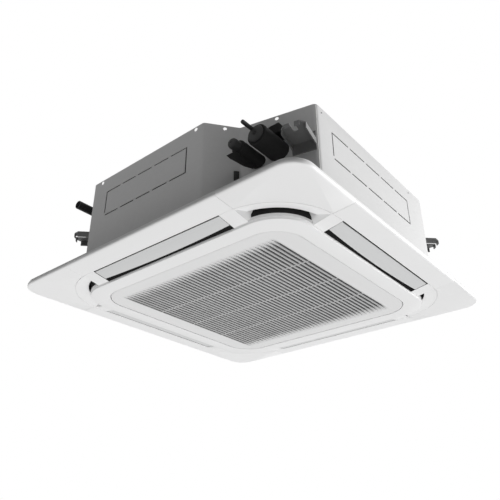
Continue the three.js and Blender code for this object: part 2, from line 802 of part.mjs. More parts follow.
function foamLiner() {
  const outer = inset(casingOutline, sheet + 0.6);
  const inner = inset(casingOutline, linerThick);
  const ring = prism(outer, panTopZ + fit, wallTopZ - sheet - fit, [inner]);
  const lid = prism(inset(casingOutline, linerThick - 1), coilTopZ + 2, wallTopZ - sheet - fit);
  const eye = upright(0, 0, 152, 280, 320);
  const window = onPipingWall(box(-40, 8, 16, 152, 164, 262));
  const cable = onPipingWall(bar([-40, 139, 236], [8, 139, 236], 6.5));
  const hoseWay = bar([-casingHalf, drainY, drainZ], [drainTipX + 126, drainY, drainZ], drainRadius + 1);
  return cut(join(ring, lid), eye, window, cable, hoseWay);
}

function drainPan() {
  const outer = inset(casingOutline, sheet + 0.6);
  const block = prism(outer, wallFootZ + sheet + fit, panTopZ);
  const hole = upright(0, 0, mouthRadius + 12, 30, 130);
  const trough = squareRing([
    [coilInner - 7, coilCorner - (coilOuter - coilInner) - 7, coilFootZ - 3],
    [coilOuter + 7, coilCorner + 7, coilFootZ - 3],
    [coilOuter + 7, coilCorner + 7, panTopZ + 1],
    [coilInner - 7, coilCorner - (coilOuter - coilInner) - 7, panTopZ + 1],
  ]);
  const ducts = fourSides(box(ductInner, ductOuter, -ductHalf, ductHalf, 40, 120));
  const sump = join(
    upright(-pumpAt, pumpAt, 38, coilFootZ - 9, 120),
    upright(floatAt[0], floatAt[1], 24, coilFootZ - 9, 120),
  );
  return cut(block, hole, trough, ducts, sump);
}

const pumpAt = casingHalf - 104;
const floatAt = [140 - casingHalf, casingHalf - 72];

function bellMouth() {
  const z0 = wallFootZ - 1.5;
  const plate = prism(roundedSquare(mouthRadius + 50, 60), z0, z0 + 3);
  const way = upright(0, 0, mouthRadius + 1.5, z0 - 5, z0 + 8);
  const rows = 3;
  const outside = [];
  const inside = [];
  for (let i = 0; i <= rows; i++) {
    const angle = i / rows * QUARTER;
    const drop = 66;
    const run = mouthRadius - throatRadius;
    const r = throatRadius + run * (1 - Math.sin(angle));
    const z = z0 + 3 + drop * (1 - Math.cos(angle));
    inside.push([r, z]);
    outside.push([r + 3, z + 0.6]);
  }
  const lip = [[throatRadius, z0 + 76], [throatRadius + 3, z0 + 76]];
  outside[0] = [mouthRadius + 3, z0 + 1.5];
  inside[0] = [mouthRadius, z0];
  const funnel = spun([...inside, ...lip, ...outside.reverse()]);
  return join(cut(plate, way), funnel);
}

// ------------------------------------------------------------------ fan

function impellerEnvelope() {
  return spun([
    [eyeRadius - 24, fanHubZ - 130], [eyeRadius + 4, fanHubZ - 130], [eyeRadius + 14, fanHubZ - 120],
    [eyeRadius + 34, fanHubZ - 114],
    [fanRadius - 1, fanHubZ - 110], [fanRadius - 1, fanHubZ + 1.5], [eyeRadius - 24, fanHubZ + 1.5],
  ]);
}

function bladeOutline(turn) {
  const steps = 6;
  const front = [];
  const back = [];
  for (let i = 0; i <= steps; i++) {
    const t = i / steps;
    const radius = eyeRadius - 24 + t * (fanRadius - eyeRadius + 26);
    const angle = turn - 0.62 * t ** 0.9;
    const thick = 1.2 + 4 * Math.sin(Math.PI * Math.min(1, t * 0.9 + 0.06));
    const half = thick / 2 / radius;
    front.push([radius * Math.cos(angle + half), radius * Math.sin(angle + half)]);
    back.push([radius * Math.cos(angle - half), radius * Math.sin(angle - half)]);
  }
  return [...front, ...back.reverse()];
}

function fanImpeller() {
  const foot = fanHubZ - 144;
  const shroud = spun([
    [eyeRadius, foot], [eyeRadius + 2.5, foot], [eyeRadius + 2.5, foot + 10], [eyeRadius + 11, foot + 20.5],
    [eyeRadius + 34, foot + 27.5], [fanRadius, foot + 31.5], [fanRadius, foot + 34.2],
    [eyeRadius + 33, foot + 30.2], [eyeRadius + 9, foot + 22.8], [eyeRadius, foot + 11],
  ], 28);
  const dish = fanMotorRadius + 12;
  const hub = spun([
    [shaftRadius + fit, fanHubZ - 42], [20, fanHubZ - 42], [20, fanHubZ - 31], [dish, fanHubZ - 31],
    [dish + 37, fanHubZ], [fanRadius, fanHubZ], [fanRadius, fanHubZ + 3], [dish + 36, fanHubZ + 3],
    [dish - 1, fanHubZ - 28], [shaftRadius + fit, fanHubZ - 28],
  ], 28);
  const blades = [];
  for (let k = 0; k < bladeCount; k++) {
    blades.push(prism(bladeOutline(k * 2 * HALF_TURN / bladeCount), fanHubZ - 136, fanHubZ + 6));
  }
  return join(hub, shroud, join(blades).intersect(impellerEnvelope()));
}

function motorShaft() {
  const body = upright(0, 0, shaftRadius, fanHubZ - 56, fanHubZ + 6);
  return cut(body, box(shaftRadius - 1, 20, -20, 20, fanHubZ - 60, fanHubZ - 44));
}

function hubNut() {
  const nut = upright(0, 0, 12, fanHubZ - 52, fanHubZ - 42 - fit, 6);
  return cut(nut, upright(0, 0, shaftRadius + fit, fanHubZ - 60, fanHubZ - 36));
}

function fanMotor() {
  const can = spun([
    [shaftRadius + 0.6, motorPlateZ - 55], [26, motorPlateZ - 55], [28, motorPlateZ - 51],
    [fanMotorRadius - 6, motorPlateZ - 51], [fanMotorRadius, motorPlateZ - 45], [fanMotorRadius, motorPlateZ - 7],
    [fanMotorRadius - 6, motorPlateZ - fit], [shaftRadius + 0.6, motorPlateZ - fit],
  ], 24);
  const bung = upright(0, 0, 20, motorPlateZ - 23, motorPlateZ - 1);
  return join(can, bung);
}

const damperRadius = fanMotorRadius + 32;

function motorBracket() {
  const disc = upright(0, 0, fanMotorRadius - 6, motorPlateZ, motorPlateZ + 3);
  const arms = [];
  const holes = [];
  for (let k = 0; k < 3; k++) {
    const angle = QUARTER + k * 2 * HALF_TURN / 3;
    arms.push(placed(box(40, damperRadius + 12, -13, 13, motorPlateZ, motorPlateZ + 3), angle));
    holes.push(upright(damperRadius * Math.cos(angle), damperRadius * Math.sin(angle), 5,
      motorPlateZ - 5, motorPlateZ + 8));
  }
  return cut(join(disc, arms), holes);
}

function motorDamper() {
  const bush = upright(0, 0, 10, motorPlateZ + 3 + fit, casingTopZ - 7.5 - fit);
  const stem = upright(0, 0, 4.6, motorPlateZ - 2.5, motorPlateZ + 4);
  const head = upright(0, 0, 9, motorPlateZ - 5.5, motorPlateZ - fit);
  return join(bush, stem, head);
}

// ------------------------------------------------------------------ coil

function heatExchanger() {
  const inner = coilCorner - (coilOuter - coilInner);
  const ring = squareRing([
    [coilInner, inner, coilFootZ],
    [coilOuter, coilCorner, coilFootZ],
    [coilOuter, coilCorner, coilTopZ],
    [coilInner, inner, coilTopZ],
  ]);
  return cut(ring, box(-400, coilEndX, -400, coilEndY, 0, 400));
}

// end plate with its return bends
function coilEndPlate() {
  const x = coilEndX - fit;
  const plate = box(x - sheet, x, -coilOuter - 1, -coilInner + 4, coilFootZ - 1, coilTopZ);
  const bends = [];
  const steps = 8;
  for (const z of [100, 142, 184, 226, 268].filter((height) => height < coilTopZ - 15)) {
    const points = [];
    for (let i = 0; i <= steps; i++) {
      const angle = i / steps * HALF_TURN;
      points.push([x - 1 - 14 * Math.sin(angle), -coilOuter + 12, z + 10.5 * Math.cos(angle)]);
    }
    const curve = new THREE.CatmullRomCurve3(points.map((p) => new THREE.Vector3(...p)));
    const shape = new THREE.Shape().absarc(0, 0, 4, 0, 2 * HALF_TURN);
    const options = { extrudePath: curve, steps: 5, curveSegments: 3, bevelEnabled: false };
    bends.push(solidOf(new THREE.ExtrudeGeometry(shape, options)));
  }
  return join(plate, bends);
}

function coilPartition() {
  const a = [-coilInner - 2, coilEndY - 4];
  const b = [coilEndX - 4, -coilInner - 2];
  const outline = [a, [a[0] + 1.4, a[1] + 0.6], [b[0] + 1.4, b[1] + 0.6], b];
  return prism(outline, panTopZ + fit, coilTopZ + 1.7);
}

function gasLine() {
  const headerX = -(coilInner + coilOuter) / 2;
  const headerY = coilEndY - 22;
  const bendX = 5 - coilInner;
  const header = upright(headerX, headerY, 9, coilFootZ + 17, coilTopZ - 7);
  const stubs = [35, 75, 115, 155, 195].map((rise) => {
    const z = coilFootZ + rise;
    return bar([headerX, headerY, z], [headerX, coilEndY - 3.2, z], 4);
  });
  const lead = pipeRun([
    [headerX, headerY, gasZ], [bendX, headerY - 40, gasZ], [bendX, gasY, gasZ], [gasTipX - 2, gasY, gasZ],
  ], gasPipe, 22);
  const nut = bar([gasTipX + 14, gasY, gasZ], [gasTipX - 2, gasY, gasZ], 15, 6);
  return join(header, stubs, lead, nut);
}

function liquidLine() {
  const [x, y] = [coilEndX - 38, coilEndY - 106];
  const lead = pipeRun([
    [x, y, 128], [x, y, liquidZ], [x - 12, liquidY, liquidZ], [liquidTipX - 8, liquidY, liquidZ],
  ], liquidPipe, 9);
  const nut = bar([liquidTipX - 0.5, liquidY, liquidZ], [liquidTipX - 19, liquidY, liquidZ], 11, 6);
  const spider = upright(x, y, 9, 116, 134);
  return join(lead, nut, spider);
}

function endPlateTwo() {
  const y = coilEndY - fit;
  return box(-coilOuter - 3, -coilInner + 4, y - sheet, y, coilFootZ - 1, coilTopZ);
}

function gasSleeveBody() {
  const root = gasTipX + gasSleeveLength;
  const sleeve = bar([root, gasY, gasZ], [gasTipX, gasY, gasZ], gasSleeve);
  const bore = bar([root + 30, gasY, gasZ], [gasTipX, gasY, gasZ], gasPipe + 0.5);
  const nutRoom = bar([gasTipX + 15, gasY, gasZ], [gasTipX - 5, gasY, gasZ], 16);
  const rod = bar([root + 30, rodY, rodZ], [gasTipX - 5, rodY, rodZ], 5.4);
  return cut(sleeve, bore, nutRoom, rod);
}

function liquidSleeveBody() {
  const root = liquidTipX + liquidSleeveLength;
  const sleeve = bar([root, liquidY, liquidZ], [liquidTipX, liquidY, liquidZ], liquidSleeve);
  const bore = bar([root + 10, liquidY, liquidZ], [liquidTipX - 5, liquidY, liquidZ], liquidPipe + 0.5);
  return cut(sleeve, bore);
}

// thin service tube that leaves the gas pipe's sleeve near its upper edge
const rodY = gasY + 10;
const rodZ = gasZ + 18;

function serviceTube() {
  return bar([gasTipX + gasSleeveLength, rodY, rodZ], [gasTipX - 39, rodY, rodZ], 5);
}

// ------------------------------------------------------------------ piping wall pieces

function pipeCoverPlate() {
  const plate = onPipingWall(box(fit, fit + 1.5, 16, 137.4, 162, 264));
  const gas = bar([-200, gasY, gasZ], [-450, gasY, gasZ], gasSleeve + 0.5);
  const liquid = bar([-200, liquidY, liquidZ], [-450, liquidY, liquidZ], liquidSleeve + 0.5);
  const disc = onPipingWall(bar([fit + 1, 119, 243], [fit + 5, 119, 243], 7.5));
  const screw = onPipingWall(bar([fit + 1, 121, 225], [fit + 4, 121, 225], 4));
  const cable = onPipingWall(bar([-8, 139, 236], [8, 139, 236], 7));
  return cut(join(plate, disc, screw), gas, liquid, cable);
}

function pipeSealBlock() {
  const block = box(gasTipX + 51, gasTipX + 107, gasY - 26, gasY + 4, gasZ + gasSleeve + 0.6, 256);
  const wall = onPipingWall(box(-80, fit + 2.1, -50, 260, 100, 300));
  const disc = onPipingWall(bar([fit, 119, 243], [fit + 6, 119, 243], 8.1));
  const pipe = bar([-200, gasY, gasZ], [-450, gasY, gasZ], gasSleeve + fit);
  const screw = onPipingWall(bar([fit, 121, 225], [fit + 5, 121, 225], 4.6));
  return cut(block, wall, disc, pipe, screw);
}

function cableGrommet() {
  const cap = bar([0.3, 139, 236], [7, 139, 236], 6.6);
  const neck = bar([-20, 139, 236], [1, 139, 236], 5.8);
  const bore = bar([-30, 139, 236], [12, 139, 236], 3);
  return onPipingWall(cut(join(cap, neck), bore));
}

// ------------------------------------------------------------------ drain

function drainPump() {
  const foot = upright(-pumpAt, pumpAt, 13, coilFootZ - 8.7, 100);
  const inlet = upright(-pumpAt, pumpAt, 20, 96, 134);
  const motor = upright(-pumpAt, pumpAt, 24, 132, 176);
  const cap = upright(-pumpAt, pumpAt, 9.5, 174, 198);
  return join(foot, inlet, motor, cap);
}

function drainHose() {
  return pipeRun([
    [-pumpAt, pumpAt, 198.4], [-pumpAt, pumpAt, drainZ - 16], [-pumpAt, drainY, drainZ],
    [drainTipX + 89, drainY, drainZ],
  ], 8, 10);
}

function drainOutlet() {
  const outer = bar([drainTipX + 88.7, drainY, drainZ], [drainTipX, drainY, drainZ], drainRadius);
  const bore = bar([drainTipX + 71, drainY, drainZ], [drainTipX - 5, drainY, drainZ], drainRadius - 2.5);
  return cut(outer, bore);
}

function floatStem() {
  const [x, y] = floatAt;
  const base = upright(x, y, 10, coilFootZ - 8.7, coilFootZ - 6);
  const stem = upright(x, y, 2.6, coilFootZ - 7, 106);
  const stop = upright(x, y, 6, 103, 107);
  return join(base, stem, stop);
}

function floatRing() {
  const [x, y] = floatAt;
  const z0 = coilFootZ - 5.7;
  return cut(upright(x, y, 10, z0, z0 + 18), upright(x, y, 3.1, z0 - 2, z0 + 20));
}

// ------------------------------------------------------------------ electrics

const boxX = [grilleHalf - 115, grilleHalf - 20];
const boxY = 150;
const boxZ = [23, 44.4];

function controlBox() {
  const [x0, x1] = boxX;
  const [z0, z1] = boxZ;
  const body = box(x0, x1, -boxY, boxY, z0, z1);
  return cut(body, box(x0 + 1.2, x1 - 1.2, -boxY + 1.2, boxY - 1.2, z0 - 1, z1 - 1.2));
}

function controlBoxCover() {
  const [x0, x1] = boxX;
  const z = boxZ[0] - fit;
  const plate = box(x0, x1, -boxY, boxY, z - 1.2, z);
  const tabs = [-1, 1].map((side) => box(x0 + 30, x1 - 30, side * (boxY + 4) - 5, side * (boxY + 4) + 5, z - 1.2, z));
  return join(plate, tabs);
}

function controlBoard() {
  const [x0, x1] = boxX;
  const top = boxZ[1] - 1.2 - fit;
  const board = box(x0 + 8, x1 - 8, -80, boxY - 12, top - 5, top - 3.4);
  const legs = [[x0 + 14, -70], [x1 - 14, -70], [x0 + 14, 130], [x1 - 14, 130]].map(([x, y]) => {
    return upright(x, y, 3, top - 4, top);
  });
  const chips = [
    box(x0 + 20, x0 + 48, 80, 120, top - 14, top - 4.5),
    box(x0 + 56, x0 + 76, -10, 10, top - 10, top - 4.5),
    box(x0 + 18, x0 + 40, 20, 58, top - 13, top - 4.5),
    upright(x1 - 30, 60, 9, top - 16, top - 4.5),
    upright(x1 - 30, 90, 9, top - 16, top - 4.5),
  ];
  return join(board, legs, chips);
}

function terminalBlock() {
  const x0 = boxX[0] + 12;
  const top = boxZ[1] - 1.2 - fit;
  const base = box(x0, x0 + 30, -140, -92, top - 13, top);
  const ways = [0, 1, 2, 3].map((k) => box(x0 - 1, x0 + 31, -137.5 + k * 11.5, -130 + k * 11.5, top - 14, top - 7));
  return cut(base, ways);
}

// ------------------------------------------------------------------ the assembly

const unit = new THREE.Group();

function put(name, solid, look, turn = 0, x = 0, y = 0) {
  const material = new THREE.MeshStandardMaterial({ ...look });
  const mesh = new THREE.Mesh(surfaceOf(solid), material);
  mesh.name = name;
  mesh.rotation.z = turn;
  mesh.position.set(x, y, 0);
  unit.add(mesh);
  return mesh;
}

const coverBody = cornerCover();
const louvreBody = louvre();
const motorBody = louvreMotor();

put('panel_frame', panelFrame(), looks.white);
for (let k = 0; k < 4; k++) {
  put(`corner_cover_${k + 1}`, coverBody, looks.white, k * QUARTER);
  put(`louvre_${k + 1}`, louvreBody, looks.louvre, k * QUARTER);
  put(`louvre_motor_${k + 1}`, motorBody, looks.steel, k * QUARTER);
}
put('intake_grille', intakeGrille(), looks.grille);
put('filter_tray', filterTray(), looks.grille);
put('air_filter', airFilter(), looks.net);
put('catch_clip_1', catchClip(hingeX), looks.white);
put('catch_clip_2', catchClip(-hingeX), looks.white);

put('casing_wall_front', frontWall(), looks.zinc);
put('casing_wall_rear', rearWall(), looks.zinc);
put('casing_top', casingTop(), looks.zinc);

const chamferMiddle = (casingHalf + chamferFoot) / 2;
const diagonal = Math.SQRT1_2;
const chamferReach = (hangerX + hangerY) * diagonal - 2 * chamferMiddle * diagonal;
const chamferBracket = hangerBracket(chamferReach);
[[1, 1], [-1, 1], [1, -1]].forEach(([sx, sy], k) => {
  const x = sx * (hangerX - chamferReach * diagonal);
  const y = sy * (hangerY - chamferReach * diagonal);
  put(`hanger_bracket_${k + 1}`, chamferBracket, looks.bracket, Math.atan2(sy, sx), x, y);
});
const wallNormal = [Math.cos(notchAngle), Math.sin(notchAngle)];
const fromCorner = [-hangerX - notchInner[0], -hangerY - notchInner[1]];
const pipingReach = fromCorner[0] * wallNormal[0] + fromCorner[1] * wallNormal[1];
put('hanger_bracket_4', hangerBracket(pipingReach), looks.bracket, notchAngle,
  -hangerX - pipingReach * wallNormal[0], -hangerY - pipingReach * wallNormal[1]);

put('foam_liner', foamLiner(), looks.foam);
put('drain_pan', drainPan(), looks.foam);
put('bell_mouth', bellMouth(), looks.black);
put('fan_impeller', fanImpeller(), looks.fan);
put('motor_shaft', motorShaft(), looks.steel);
put('hub_nut', hubNut(), looks.steel);
put('fan_motor', fanMotor(), looks.darkSteel);
put('motor_bracket', motorBracket(), looks.bracket);
for (let k = 0; k < 3; k++) {
  const angle = QUARTER + k * 2 * HALF_TURN / 3;
  put(`motor_damper_${k + 1}`, motorDamper(), looks.rubber, 0,
    damperRadius * Math.cos(angle), damperRadius * Math.sin(angle));
}
put('heat_exchanger', heatExchanger(), looks.fins);
put('coil_end_plate_1', coilEndPlate(), looks.bracket);
put('coil_end_plate_2', endPlateTwo(), looks.bracket);
put('coil_partition', coilPartition(), looks.zinc);
put('gas_line', gasLine(), looks.copper);
put('liquid_line', liquidLine(), looks.copper);
put('gas_sleeve', gasSleeveBody(), looks.insulation);
put('liquid_sleeve', liquidSleeveBody(), looks.insulation);
put('service_tube', serviceTube(), looks.black);
put('pipe_cover_plate', pipeCoverPlate(), looks.zinc);
put('pipe_seal_block', pipeSealBlock(), looks.rubber);
put('cable_grommet', cableGrommet(), looks.rubber);
put('drain_pump', drainPump(), looks.cream);
put('drain_hose', drainHose(), looks.rubber);
put('drain_outlet', drainOutlet(), looks.black);
put('float_stem', floatStem(), looks.cream);
put('float_ring', floatRing(), looks.white);
put('control_box', controlBox(), looks.zinc);
put('control_box_cover', controlBoxCover(), looks.zinc);
put('control_board', controlBoard(), looks.board);
put('terminal_block', terminalBlock(), looks.black);

export default unit;
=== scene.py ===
# %% [markdown]
# # Ceiling cassette air conditioner
# A four-way cassette unit hangs above a ceiling. Below the ceiling only its white decoration panel
# shows: an intake grille in the middle, a louvre on each side and a crescent outlet at each corner.
# Lengths are written in millimetres and become metres in `mesh_object`. +Z is up, and the origin is
# the centre of the panel at the height of the grille's face.

# %% Frame
import json
import math

import bmesh
import bpy
import numpy as np
from mathutils import Matrix, Vector


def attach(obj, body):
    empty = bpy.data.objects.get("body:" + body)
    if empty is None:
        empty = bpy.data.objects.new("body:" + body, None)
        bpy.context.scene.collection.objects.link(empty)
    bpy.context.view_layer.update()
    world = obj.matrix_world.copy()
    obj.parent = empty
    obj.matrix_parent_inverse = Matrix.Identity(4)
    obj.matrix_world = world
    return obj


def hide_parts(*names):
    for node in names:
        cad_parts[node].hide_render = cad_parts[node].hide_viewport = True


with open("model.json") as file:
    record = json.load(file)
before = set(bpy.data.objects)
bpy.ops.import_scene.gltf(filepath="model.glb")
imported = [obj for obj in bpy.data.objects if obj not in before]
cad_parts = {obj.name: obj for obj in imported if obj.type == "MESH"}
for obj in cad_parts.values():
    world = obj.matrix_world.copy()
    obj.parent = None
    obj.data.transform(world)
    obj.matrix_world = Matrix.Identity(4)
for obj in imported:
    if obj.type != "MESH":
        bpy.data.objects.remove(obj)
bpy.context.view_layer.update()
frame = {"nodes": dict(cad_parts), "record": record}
MM = 0.001
HALF_PI = math.pi / 2

# %% [markdown]
# ## Driving sizes
# The unit is built on concentric squares, each given by its half size. Rounded corners of
# neighbouring outlines share a centre, so they stay parallel: three corner centres serve them all.

# %% Driving sizes
PANEL, OUTLET, CENTRE, GRILLE, CASING = 475, 415, 364, 320, 410
RIM_CORNER, CENTRE_CORNER, OUTLET_CORNER = 420, 264, 240
PANEL_TOP, CHANNEL_TOP = 46, 42
CASING_TOP = 312

# %% [markdown]
# ## Camera
# The camera stands under the piping corner and looks up. Its place, turn and lens come from the
# photograph's parallel edges, so it is given as three axes instead of angles. The picture's
# vanishing centre lies half a pixel off the middle, which a small lens shift takes up.

# %% Camera
camera_data = bpy.data.cameras.new("camera")
camera_data.lens = 42.11
camera_data.sensor_width = 36
camera_data.shift_x = 0.001
camera_data.shift_y = -0.001
camera_data.clip_start = 0.05
camera_data.clip_end = 50
camera = bpy.data.objects.new("camera", camera_data)
bpy.context.scene.collection.objects.link(camera)
forward = Vector((0.683, 0.562, 0.466)).normalized()
right = Vector((0.637, -0.771, -0.005))
right = (right - forward * right.dot(forward)).normalized()
turn = Matrix((right, right.cross(forward), -forward)).transposed().to_4x4()
camera.matrix_world = Matrix.Translation((-1.2179, -0.9668, -0.6451)) @ turn
bpy.context.scene.camera = camera

# %% [markdown]
# ## Mesh helpers
# Pressed sheet and moulded plastic are mostly one profile carried round an outline. Every helper
# works out its points as one numpy array of rows and columns, and `grid_faces` joins them with quads.

# %% Points and faces
EDGE_ANGLE, SOFT_EDGE_ANGLE = 32, 40


def grid_faces(rows, columns, closed_rows=False):
    """Quads of a grid: each joins point (i, j) to (i, j+1), (i+1, j+1) and (i+1, j). Columns wrap round."""
    i, j = np.meshgrid(np.arange(rows if closed_rows else rows - 1), np.arange(columns), indexing="ij")
    below, beside = (i + 1) % rows, (j + 1) % columns
    corners = (i * columns + j, i * columns + beside, below * columns + beside, below * columns + j)
    return np.stack(corners, axis=-1).reshape(-1, 4).tolist()


def mesh_object(name, points, faces):
    """An object from an array of points in millimetres, with its doubles merged and its faces outward."""
    mesh = bpy.data.meshes.new(name)
    mesh.from_pydata((np.asarray(points, float).reshape(-1, 3) * MM).tolist(), [], faces)
    bm = bmesh.new()
    bm.from_mesh(mesh)
    bmesh.ops.remove_doubles(bm, verts=bm.verts, dist=1e-7)
    bmesh.ops.recalc_face_normals(bm, faces=bm.faces)
    bm.to_mesh(mesh)
    bm.free()
    obj = bpy.data.objects.new(name, mesh)
    bpy.context.scene.collection.objects.link(obj)
    shade(obj, EDGE_ANGLE)
    return obj


def shade(obj, angle):
    """Smooth shading, with the edges above an angle in degrees kept sharp."""
    mesh = obj.data
    mesh.polygons.foreach_set("use_smooth", np.ones(len(mesh.polygons), bool))
    bm = bmesh.new()
    bm.from_mesh(mesh)
    limit = math.radians(angle)
    for edge in bm.edges:
        edge.smooth = len(edge.link_faces) == 2 and edge.calc_face_angle(0) < limit
    bm.to_mesh(mesh)
    bm.free()


def loft(name, rows):
    """A solid through an array of equal closed outlines, with a flat cap on the first and the last."""
    rows = np.asarray(rows, float)
    count, size = rows.shape[:2]
    caps = [tuple(range(size)), tuple(range((count - 1) * size, count * size))]
    return mesh_object(name, rows, grid_faces(count, size) + caps)


def box(name, x0, x1, y0, y1, z0, z1):
    base = np.array([(x0, y0, 0), (x1, y0, 0), (x1, y1, 0), (x0, y1, 0)], float)
    return loft(name, base + np.array([[[0, 0, z0]], [[0, 0, z1]]]))


# %% Rounded squares
CORNER_STEPS = 24


def rounded_square(half, corner):
    """Outlines of rounded squares: corner centres at half − corner, and a quarter circle round each."""
    half, corner = np.atleast_1d(half)[:, None, None], np.atleast_1d(corner)[:, None, None]
    angle = (np.arange(4)[:, None] + np.arange(CORNER_STEPS + 1) / CORNER_STEPS) * HALF_PI
    signs = np.array([(1, 1), (-1, 1), (-1, -1), (1, -1)])
    x = signs[:, :1] * (half - corner) + corner * np.cos(angle)
    y = signs[:, 1:] * (half - corner) + corner * np.sin(angle)
    return np.stack([x, y], axis=-1).reshape(len(half), -1, 2)


def raised(outlines, heights):
    """Gives each outline of an (outline, point, xy) array its own height."""
    z = np.broadcast_to(np.asarray(heights, float)[:, None, None], (*outlines.shape[:2], 1))
    return np.concatenate([outlines, z], axis=2)


def profile(half, centre, *points):
    """`square_ring` points from (offset, z) pairs: offsets from a half size, round one corner centre."""
    return [(half + offset, half + offset - centre, z) for offset, z in points]


def square_ring(name, points):
    """A closed (half size, corner radius, z) profile carried round a rounded square."""
    half, corner, z = np.array(points, float).T
    rows = raised(rounded_square(half, corner), z)
    return mesh_object(name, rows, grid_faces(*rows.shape[:2], closed_rows=True))


def square_plate(name, half, z0, z1):
    corner = half - OUTLET_CORNER
    return loft(name, raised(rounded_square([half, half], [corner, corner]), [z0, z1]))


# %% Turned forms
def turned_bar(name, start, end, points, steps=48):
    """A (distance, radius) profile turned about a line: start + along · distance + ring · radius."""
    start, end = np.array(start, float), np.array(end, float)
    along = (end - start) / np.linalg.norm(end - start)
    side = np.array((0, 0, 1.0)) if abs(along[2]) < 0.9 else np.array((1.0, 0, 0))
    side -= along * side.dot(along)
    side /= np.linalg.norm(side)
    angle = np.linspace(0, 2 * math.pi, steps, endpoint=False)[:, None]
    ring = side * np.cos(angle) + np.cross(along, side) * np.sin(angle)
    distance, radius = np.array(points, float).T[:, :, None, None]
    rows = start + along * distance + ring * radius
    if points[0] == points[-1]:
        return mesh_object(name, rows[:-1], grid_faces(len(rows) - 1, steps, closed_rows=True))
    return loft(name, rows)


def rod(name, start, end, radius, edge=0.6, steps=48):
    """A round bar whose ends are bevelled by `edge`."""
    length = float(np.linalg.norm(np.subtract(end, start)))
    points = [(0, radius - edge), (edge, radius), (length - edge, radius), (length, radius - edge)]
    return turned_bar(name, start, end, points, steps)


def spun(name, points, steps=96):
    """A closed (radius, z) profile turned about Z."""
    swapped = [(z, r) for r, z in points]
    return turned_bar(name, (0, 0, 0), (0, 0, 1), [*swapped, swapped[0]], steps)


# %% Cutting and joining
def baked(obj):
    """Applies an object's modifiers to its mesh."""
    graph = bpy.context.evaluated_depsgraph_get()
    fresh = bpy.data.meshes.new_from_object(obj.evaluated_get(graph))
    obj.modifiers.clear()
    old, obj.data = obj.data, fresh
    bpy.data.meshes.remove(old)
    return obj


def boolean(obj, tools, operation="DIFFERENCE"):
    """Cuts, joins or crosses an object with tools one after another, and removes the tools."""
    for tool in tools:
        modifier = obj.modifiers.new("boolean", "BOOLEAN")
        modifier.operation = operation
        modifier.solver = "EXACT"
        modifier.object = tool
        baked(obj)
        bpy.data.objects.remove(tool)
    return obj


def soften(obj, width, segments=2):
    """Rounds the sharp edges a little, as moulding and folding do."""
    modifier = obj.modifiers.new("bevel", "BEVEL")
    modifier.width = width * MM
    modifier.segments = segments
    modifier.limit_method = "ANGLE"
    modifier.angle_limit = math.radians(EDGE_ANGLE)
    modifier.use_clamp_overlap = True
    baked(obj)
    shade(obj, SOFT_EDGE_ANGLE)
    return obj


def merged(name, objects):
    """One object from several, their meshes side by side."""
    bm = bmesh.new()
    for obj in objects:
        bm.from_mesh(obj.data)
    mesh = bpy.data.meshes.new(name)
    bm.to_mesh(mesh)
    bm.free()
    for obj in objects:
        bpy.data.objects.remove(obj)
    result = bpy.data.objects.new(name, mesh)
    bpy.context.scene.collection.objects.link(result)
    return result


def turned(obj, quarter):
    """Turns a mesh about Z by quarter turns, in place."""
    obj.data.transform(Matrix.Rotation(quarter * HALF_PI, 4, "Z"))
    return obj


def copied(obj):
    fresh = obj.copy()
    fresh.data = obj.data.copy()
    bpy.context.scene.collection.objects.link(fresh)
    return fresh


def four(name, obj):
    """A mesh turned to the four corners or sides, as one object."""
    return merged(name, [obj, *[turned(copied(obj), k) for k in (1, 2, 3)]])


def clipped(obj, point, normal):
    """Keeps the part of a closed mesh on the side that the normal points to."""
    bm = bmesh.new()
    bm.from_mesh(obj.data)
    cut = bmesh.ops.bisect_plane(
        bm, geom=bm.verts[:] + bm.edges[:] + bm.faces[:], plane_co=Vector(point) * MM,
        plane_no=normal, clear_inner=True, dist=1e-6)
    edges = [g for g in cut["geom_cut"] if isinstance(g, bmesh.types.BMEdge)]
    bmesh.ops.holes_fill(bm, edges=edges, sides=0)
    bmesh.ops.recalc_face_normals(bm, faces=bm.faces)
    bm.to_mesh(obj.data)
    bm.free()
    return obj


def corner_part(obj, edge):
    """The part of a ring past a seam on both sides, at the (+X, +Y) corner."""
    return clipped(clipped(obj, (edge, 0, 0), (1, 0, 0)), (0, edge, 0), (0, 1, 0))


# %% [markdown]
# ## Materials
# Every finish is built from nodes on object coordinates: a colour that varies a little, a roughness
# that varies more, and a fine bump. `Graph` is a short way to wire such a node tree.

# %% Node wiring
class Nodes:
    """A node tree of a material or a world."""

    def __init__(self, tree):
        self.tree = tree

    def add(self, kind, **values):
        node = self.tree.nodes.new(kind)
        for key, value in values.items():
            setattr(node, key, value)
        return node

    def link(self, source, target):
        self.tree.links.new(source, target)

    def math(self, operation, a, b=0.0):
        node = self.add("ShaderNodeMath", operation=operation)
        for slot, value in zip(node.inputs, (a, b)):
            if isinstance(value, (int, float)):
                slot.default_value = value
            else:
                self.link(value, slot)
        return node.outputs[0]


